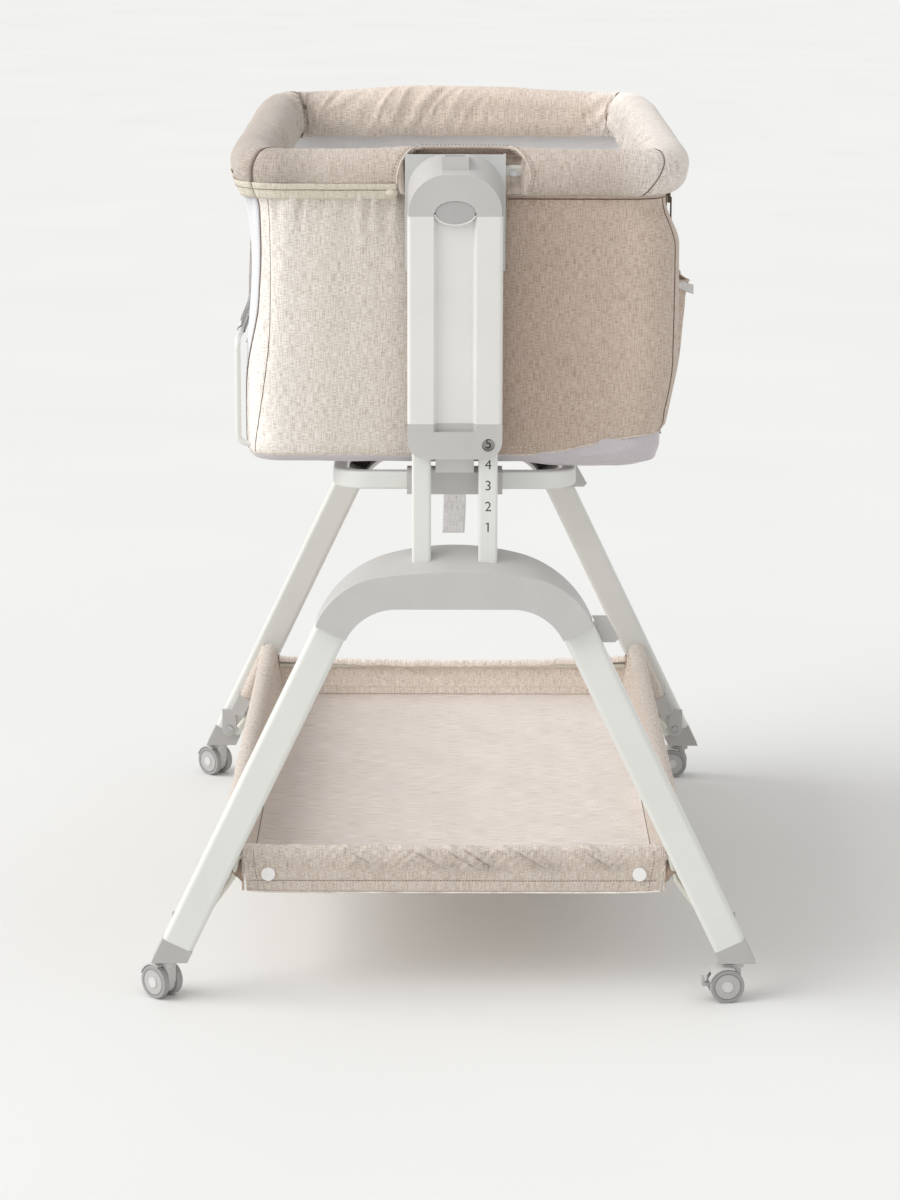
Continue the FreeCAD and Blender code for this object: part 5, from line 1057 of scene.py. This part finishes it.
white_knit = knitted_mesh("white_knit", "#F5F5F6", "#E8E8EA", 0.2)
# the net outside is the same white knit drawn darker, as painted shade, because the sun falls full on it
outer_knit_painted_shade = knitted_mesh("outer_knit_painted_shade", "#E4E4E6", "#C9C9CD", 0.3)


def net_wall(u, v):
    """The net that faces the left side, sewn on between its two waving seams."""
    z = NET_FOOT + (WALL_HEAD - 0.5 - NET_FOOT) * v
    _, _, _, far_edge, near_edge, _ = wall_seams(z)
    run = far_edge + (near_edge - far_edge) * u
    x, y, out_x, out_y = around(*WALL, run)
    px, py, pz = wall_at(run, z)
    return px + out_x * 1.1, py + out_y * 1.1, pz


net_cloth = sewn(
    "left_net_wall", windowed(cloth(210, 60, net_wall, 760, 232)), outer_knit_painted_shade, "basket", thick=0.4
)
LINING = (204.9, 384.9, 32)
lining_round = perimeter(*LINING)


def lining(u, v):
    """Inside the wall, taut at the foot and in soft upright folds above."""
    run = u * lining_round
    x, y, out_x, out_y = around(*LINING, run)
    z = LINING_FOOT + (WALL_HEAD + 1 - LINING_FOOT) * v
    fold = wrinkle(run / 26, z / 300, 8) + 0.5 * wrinkle(run / 10, z / 240, 3)
    out = -0.5 - 2.2 * ease((z - 620) / 60) * (0.6 + 0.6 * fold) - leans_in(x, z)
    return x + out_x * out, y + out_y * out, z


inner = sewn(
    "basket_lining", windowed(cloth(420, 44, lining, lining_round, 242)), white_knit, "basket",
    thick=0.5, outward=True
)

# each upright seam's width, how far it stands proud of the wall, and where it stops under the rim
seam_sizes = (
    (0.9, 1.1, 811), (0.9, 1.1, 811), (0.7, 1.1, 811), (0.8, 1.5, 811), (0.8, 1.5, 811), (0.7, 1.1, 816)
)
for index, (width, proud, top) in enumerate(seam_sizes):
    laid = []
    for z in range(558, top, 6):
        at = wall_seams(z)[index]
        _, _, out_x, out_y = around(*WALL, at)
        laid.append(Vector(wall_at(at, z)) + Vector((out_x, out_y, 0)) * proud)
    line(f"wall_seam_{index + 1}", laid, width, seam_thread, "basket")

foot_points = [wall(k / 360, 0.004) for k in range(360)]
line(
    "wall_hem_edge", [(x, y, z - 0.3) for x, y, z in foot_points], 2.2, linen, "basket", closed=True
)
hem_row = [wall(k / 720, 0.032) for k in range(721)]
stitches(
    "wall_hem_stitches", [(x * 1.003, y * 1.002, z) for x, y, z in hem_row], 4.4, 2.8, 0.55, cream_thread,
    "basket"
)
under_rim = [wall_at(k / 900 * wall_round, 811) for k in range(901)]
seam_runs = {
    "near_right": [(x, y - 1.1, z) for x, y, z in under_rim if y < -340 and x > 50],
    "far": [(x, y + 1.1, z) for x, y, z in under_rim if y > 340 and x > -180],
}
for where, points in seam_runs.items():
    line(f"rim_to_wall_seam_{where}", points, 1.1, seam_thread, "basket")

# ---------------------------------------------------------------- zips
# A cream zip runs under the rim from the near post round the left corner, with its stop tab left
# bare, and along the right side for the bronzed slider. Ribbed tape, with the coil as a dark line.
zip_tape = woven("zip_tape", "#E6DFD0", "#DBD2C1", "#C8BDA9", 0.9, 0.4)
coil = woven("zip_coil", "#9C8F80", "#85786A", "#6B5F52", 0.9, 0.9)
STOP_ACROSS, TAPE_WIDTH = 57, 17.6
TAPE_OUT, TAPE_LEAN, TAPE_FOOT, TAPE_RISE = 15.6, 7.4, 811.4, 15.8
near_tape_length = SPLIT_AT - SPLIT_GAP - STOP_ACROSS
drop_tape_length = split_seams[1] - split_seams[0] - 2 * SPLIT_GAP


def tape_on_rim(run, v, waver):
    """The tape along the foot of the rim's cover: it leans out as it rises."""
    x, y, out_x, out_y = around(*RIM, run)
    out = TAPE_OUT + TAPE_LEAN * v + 0.6 * math.sin(math.pi * v) + 0.4 * wrinkle(run / 22, v)
    px, py = x + out_x * out, y + out_y * out
    return px + drawn(px, py), py, TAPE_FOOT + TAPE_RISE * v + waver * wrinkle(run / 30, 2)


def tape_place(u, v):
    """The near zip's tape, from the stop by the post to the rim's split."""
    return tape_on_rim(rim_round - STOP_ACROSS - u * near_tape_length, v, 0.5)


def drop_tape_place(u, v):
    """The same tape where it goes on round the drop side's rim."""
    return tape_on_rim(split_seams[1] - SPLIT_GAP - u * drop_tape_length, v, 0.4)


near_tape = sewn(
    "near_zip_tape", cloth(60, 6, tape_place, near_tape_length, TAPE_WIDTH), zip_tape, "basket",
    thick=0.9
)
laid = [Vector(tape_place(k / 50, 0.6)) + Vector((0, -0.5, 0)) for k in range(51)]
line("near_zip_coil", laid, 0.9, coil, "basket")
# the stop's tab is a flat oval of cream cloth
TAB_AT, TAB_RADIUS, TAB_LEAN = Vector((-62, -401.4, 818.4)), 3.6, 68
stop_tab = bmesh.new()
stop_tab.loops.layers.uv.new("weave")
leaning = Matrix.Translation(TAB_AT) @ Matrix.Rotation(math.radians(TAB_LEAN), 4, "X")
bmesh.ops.create_circle(stop_tab, cap_ends=True, segments=20, radius=TAB_RADIUS, matrix=leaning)
bmesh.ops.scale(stop_tab, vec=(1.75, 1, 1), space=Matrix.Translation(-TAB_AT), verts=stop_tab.verts)
raised = bmesh.ops.extrude_face_region(stop_tab, geom=stop_tab.faces[:])
front = [part for part in raised["geom"] if isinstance(part, bmesh.types.BMVert)]
bmesh.ops.translate(stop_tab, vec=(0, -1.1, 0.3), verts=front)
bmesh.ops.scale(stop_tab, vec=(MM, MM, MM), verts=stop_tab.verts)
sewn("zip_stop_tab", stop_tab, cream_binding, "basket", outward=True)


SIDE_ZIP_HALF = 345


def side_tape_place(u, v):
    """Along the right wall, just under the rim."""
    y = -SIDE_ZIP_HALF + 2 * SIDE_ZIP_HALF * u
    return 209.7 + 0.1 * wrinkle(y / 30), y, 797.5 + 12 * v


side_tape = sewn(
    "right_zip_tape", cloth(150, 5, side_tape_place, 2 * SIDE_ZIP_HALF, 12), zip_tape, "basket",
    thick=0.5
)
laid = [(210.2, y, 803.6) for y in range(-SIDE_ZIP_HALF, SIDE_ZIP_HALF + 1, 10)]
line("right_zip_coil", laid, 0.9, coil, "basket")
coat(bronzed_zinc, "zip_slider")
drop_tape = sewn(
    "drop_zip_tape", cloth(190, 6, drop_tape_place, drop_tape_length, TAPE_WIDTH), zip_tape, "drop_side",
    thick=0.9
)
laid = [Vector(drop_tape_place(k / 150, 0.6)) + Vector((-0.5, 0, 0)) for k in range(151)]
line("drop_zip_coil", laid, 0.9, coil, "drop_side")

# ---------------------------------------------------------------- drop side
# The side next to the bed is a panel of the white knitted mesh, bound in the heathered cloth. Its
# foot is a sleeve round the guard bar, which it folds down about.
BAR_ACROSS, BAR_HEIGHT, SLEEVE_INSIDE = -216, 668.5, 4.3
PANEL_HALF, PANEL_FOOT_HALF, PANEL_CUT = 322, 299, 172
WRAP_FROM = math.radians(20)  # the cloth starts this far above level on the bar's inner side, and goes down
sleeve_length = 2 * math.pi * 0.8 * SLEEVE_INSIDE


def panel(u, v):
    """From inside the sleeve, round the bar, and up to the rim."""
    y = -PANEL_HALF + 2 * PANEL_HALF * u
    run = v * PANEL_CUT
    turn = WRAP_FROM - min(run, sleeve_length) / SLEEVE_INSIDE
    x, z = BAR_ACROSS + SLEEVE_INSIDE * math.cos(turn), BAR_HEIGHT + SLEEVE_INSIDE * math.sin(turn)
    if run < sleeve_length:
        return x, y * PANEL_FOOT_HALF / PANEL_HALF, z
    rise = (run - sleeve_length) / (PANEL_CUT - sleeve_length)
    swell = 2.0 * math.sin(math.pi * min(1, rise * 1.05)) * (1 - (y / PANEL_HALF) ** 6)
    x += (-207 + 6 * rise - x) * ease(rise * 4) - swell + 0.8 * wrinkle(y / 60, rise * 2)
    spread = PANEL_FOOT_HALF + (PANEL_HALF - PANEL_FOOT_HALF) * ease(rise * 5)
    return x, y * spread / PANEL_HALF, z + (813 - z) * rise


net = sewn(
    "drop_side_net", cloth(150, 46, panel, 2 * PANEL_HALF, PANEL_CUT), outer_knit_painted_shade, "drop_side",
    ["drop_mesh_panel"], thick=0.8
)
for end, facing in zip(ends, (-1, 1)):

    def bound_edge(u, v, facing=facing):
        """Over the net's own edge, and a little proud of it."""
        x, y, z = panel(0.5 + facing * (0.484 + 0.016 * u), 0.16 + 0.84 * v)
        return x - 1.0, y, z

    edge = sewn(
        f"{end}_net_binding", cloth(4, 40, bound_edge, 10, 146), linen, "drop_side", thick=0.8
    )
foot = [(-208.6, y, WINDOW_FOOT + 0.5) for y in range(-WINDOW_HALF, WINDOW_HALF + 1, 8)]
line("window_foot_piping", foot, 2.4, linen, "basket")

# ---------------------------------------------------------------- mattress and board
# A thin foam mattress in a white quilted cotton cover lies on a board covered in grey polypropylene.
# The cover is crowned, pulled in at its piped edge and quilted in shallow lozenges.
board_shell = moulded_abs("board_shell", "#C9C9C8", "#BFBFBE", 0.6)
coat(board_shell, "floor_board")
cotton = woven("bleached_cotton", "#FBFAF7", "#F2F0EC", "#E0DDD7", 1.1, 0.4)
MATTRESS = (201.5, 381.5, 34)
mattress_low, mattress_high = (corner.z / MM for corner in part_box("mattress"))
FLAT_SHARE, EDGE_SHARE = 0.86, 0.14  # of the way from a middle to the edge: the flat, and the rounded edge
LOZENGE, PIPING_HEIGHT = 95, 12


def mattress(u, v):
    """Closed from the middle of the top, over the edge, to the middle of the underside."""
    reach = 1 - abs(2 * v - 1)  # 0 at the middles, 1 at the edge
    inset = (1 - min(1.0, reach / FLAT_SHARE)) * 199.0
    half_x, half_y = MATTRESS[0] - inset, MATTRESS[1] - inset
    corner = max(0.8, min(MATTRESS[2], half_x - 0.5))
    x, y, out_x, out_y = around(half_x, half_y, corner, u * perimeter(half_x, half_y, corner))
    lozenge = abs(math.sin((x + y) * math.pi / LOZENGE)) * abs(math.sin((x - y) * math.pi / LOZENGE))
    middle = mattress_low + PIPING_HEIGHT
    over_edge = (reach - FLAT_SHARE) / EDGE_SHARE if inset == 0 else 0.0
    crown = max(0.0, 1 - over_edge**2) ** 0.5
    if v < 0.5:
        top = mattress_high - 2.6 + 2.6 * (lozenge**0.4 - 0.5) * ease((inset - 12) / 20)
        top -= 8 * (1 - ease(inset / 45))
        z = middle + (top - middle) * crown + 0.5 * wrinkle(x / 50, y / 50)
    else:
        z = middle - (middle - mattress_low) * crown
    bulge = 0.6 * math.sin(math.pi * over_edge)
    return x + out_x * bulge, y + out_y * bulge, z


mat = cloth(300, 120, mattress, 1166, 420)
bmesh.ops.holes_fill(mat, edges=[edge for edge in mat.edges if edge.is_boundary], sides=0)
mat = sewn("mattress_cover", mat, cotton, "basket", ["mattress"], outward=True)
PIPED_EDGE = (202.2, 382.2, 34)
edge_run = [around(*PIPED_EDGE, k / 240 * perimeter(*PIPED_EDGE)) for k in range(240)]
piping = [(x, y, mattress_low + PIPING_HEIGHT + 0.5) for x, y, _, _ in edge_run]
line("mattress_piping", piping, 2.2, cotton, "basket", closed=True)

# ---------------------------------------------------------------- bottom cover
# A thin lavender-grey polyester cover is elasticated over the board from below. It hangs slack, and
# shows under the hem where that rides up.
grey_taffeta = woven("grey_taffeta", "#CBC5C8", "#C4BEC1", "#BBB5B8", 0.45, 0.05)
grey_taffeta.node_tree.nodes["Principled BSDF"].inputs["Roughness"].default_value = 0.4
COVER = (205.6, 385.6, 34)
cover_round = perimeter(*COVER)
COVER_HEAD, COVER_FLAT = 561, 547.6
# shares of the cut, how far in from the edge the cloth is there, and what share of the way down
profile = (
    (0.0, 0.0, 0.0), (0.16, 0.0, 0.5), (0.30, 4.0, 0.85),
    (0.45, 16.0, 1.0), (0.65, 60.0, 1.05), (1.0, 203.0, 1.0),
)


def cover(u, v):
    """Down from under the hem, round the board's edge, and in to the middle of its underside."""
    x, y, out_x, out_y = around(*COVER, u * cover_round)
    head = COVER_HEAD + hem_rise(x, y) * 1.05
    slack = ease((x - 62) / 50) * ease((-y - 300) / 60)
    for (v0, in0, down0), (v1, in1, down1) in zip(profile, profile[1:]):
        if v <= v1:
            break
    share = (v - v0) / (v1 - v0)
    inset, down = in0 + (in1 - in0) * share, down0 + (down1 - down0) * share
    foot = COVER_FLAT - 4.6 * slack * (1 - ease((inset - 20) / 60))
    half_x, half_y = COVER[0] - inset, COVER[1] - inset
    corner = max(1.0, min(COVER[2], half_x - 0.5))
    cx, cy, ox, oy = around(half_x, half_y, corner, u * perimeter(half_x, half_y, corner))
    run = u * cover_round
    pleat = 1.5 * wrinkle(run / 26 + v * 3, v * 3) + 0.9 * abs(wrinkle(run / 13 - v * 4, v * 4, 4))
    out = max(-0.5, (0.8 + 2.6 * slack) * pleat * ease(v * 6) * (1 - ease((inset - 30) / 50)) - 0.8)
    z = head + (foot - head) * down + 0.9 * wrinkle(cx / 40, cy / 40, 7) * ease(v * 3)
    return cx + ox * out, cy + oy * out, z


under = cloth(420, 40, cover, cover_round, 226)
hole = [edge for edge in under.edges if edge.is_boundary and abs(edge.verts[0].co.x) < 0.01]
bmesh.ops.holes_fill(under, edges=hole, sides=0)
under = sewn("bottom_cover_cloth", under, grey_taffeta, "basket", ["bottom_cover"], thick=0.6)

# ---------------------------------------------------------------- side pocket
# A gusseted pocket of the heathered cloth stands off the right wall, its mouth held by elastic. A
# short grey webbing tab is sewn in at its near corner.
POCKET_NEAR, POCKET_FAR, POCKET_FOOT, POCKET_HEAD = -300, -30, 563, 718


def pocket(u, v):
    """From its near end to its far one, and up from its foot seam to its mouth."""
    y = POCKET_NEAR + (POCKET_FAR - POCKET_NEAR) * u
    z = POCKET_FOOT + (POCKET_HEAD - POCKET_FOOT) * v
    from_side = min(u, 1 - u) * (POCKET_FAR - POCKET_NEAR)
    clear = ease(from_side / 20)
    out = (5 + 17 * v) * ease(from_side / 14) ** 0.6
    out += (1.6 * wrinkle(y / 26, z / 60, 2) + 0.8 * wrinkle(y / 9, z / 50, 5)) * clear * ease(v * 4)
    # the elastic's channel, gathered just under the mouth
    out -= 2.2 * math.exp(-(((v - 0.9) / 0.04) ** 2)) * (0.6 + 0.5 * wrinkle(y / 5, 1)) * clear
    return 208.9 + loose_corner(208, y, z) + max(0.0, out * ease(v * 9)), y, z


# the pocket takes the wall's cloth, with its painted light and shade
bag = sewn(
    "side_pocket_bag", cloth(90, 52, pocket, 290, 160), wall_linen_painted_light, "basket", ["side_pocket"],
    thick=1.2
)
line("pocket_mouth_binding", [pocket(k / 80, 1.0) for k in range(81)], 2.6, wall_linen_painted_light, "basket")
foot = [(209.6, POCKET_NEAR + k * (POCKET_FAR - POCKET_NEAR) / 40, POCKET_FOOT + 0.6) for k in range(41)]
line("pocket_foot_seam", foot, 1.6, seam_thread, "basket")


def tab(u, v):
    """Out from the pocket's near corner, drooping a little."""
    droop = -6 * u + 9 * (v - 0.5) + 0.8 * math.sin(u * 5)
    return 216 + 25 * u, -297 + 2 * v + 1.2 * math.sin(u * 4), 717 + droop


pull_tab = sewn("pocket_webbing_tab", cloth(14, 6, tab, 30, 12), white_webbing, "basket", thick=1.6)

# ---------------------------------------------------------------- bed strap
# A loose end of white polypropylene webbing, 25 mm wide, hangs under the basket to tie it to a bed.
strap_low, strap_high = (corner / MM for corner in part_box("bed_strap"))


def strap(u, v):
    """Across its width, and up, with the slow waves of a strap that hangs free."""
    x = strap_low.x + (strap_high.x - strap_low.x) * u
    y = (strap_low.y + strap_high.y) / 2
    z = strap_low.z + (strap_high.z - strap_low.z) * v
    return x + 1.5 * math.sin(v * 6), y + 2.0 * math.sin(v * 5) + 0.5 * math.sin(u * 3), z


webbing = sewn(
    "bed_strap_webbing", cloth(12, 60, strap, 25, 161), white_webbing, "basket", ["bed_strap"],
    thick=1.6
)
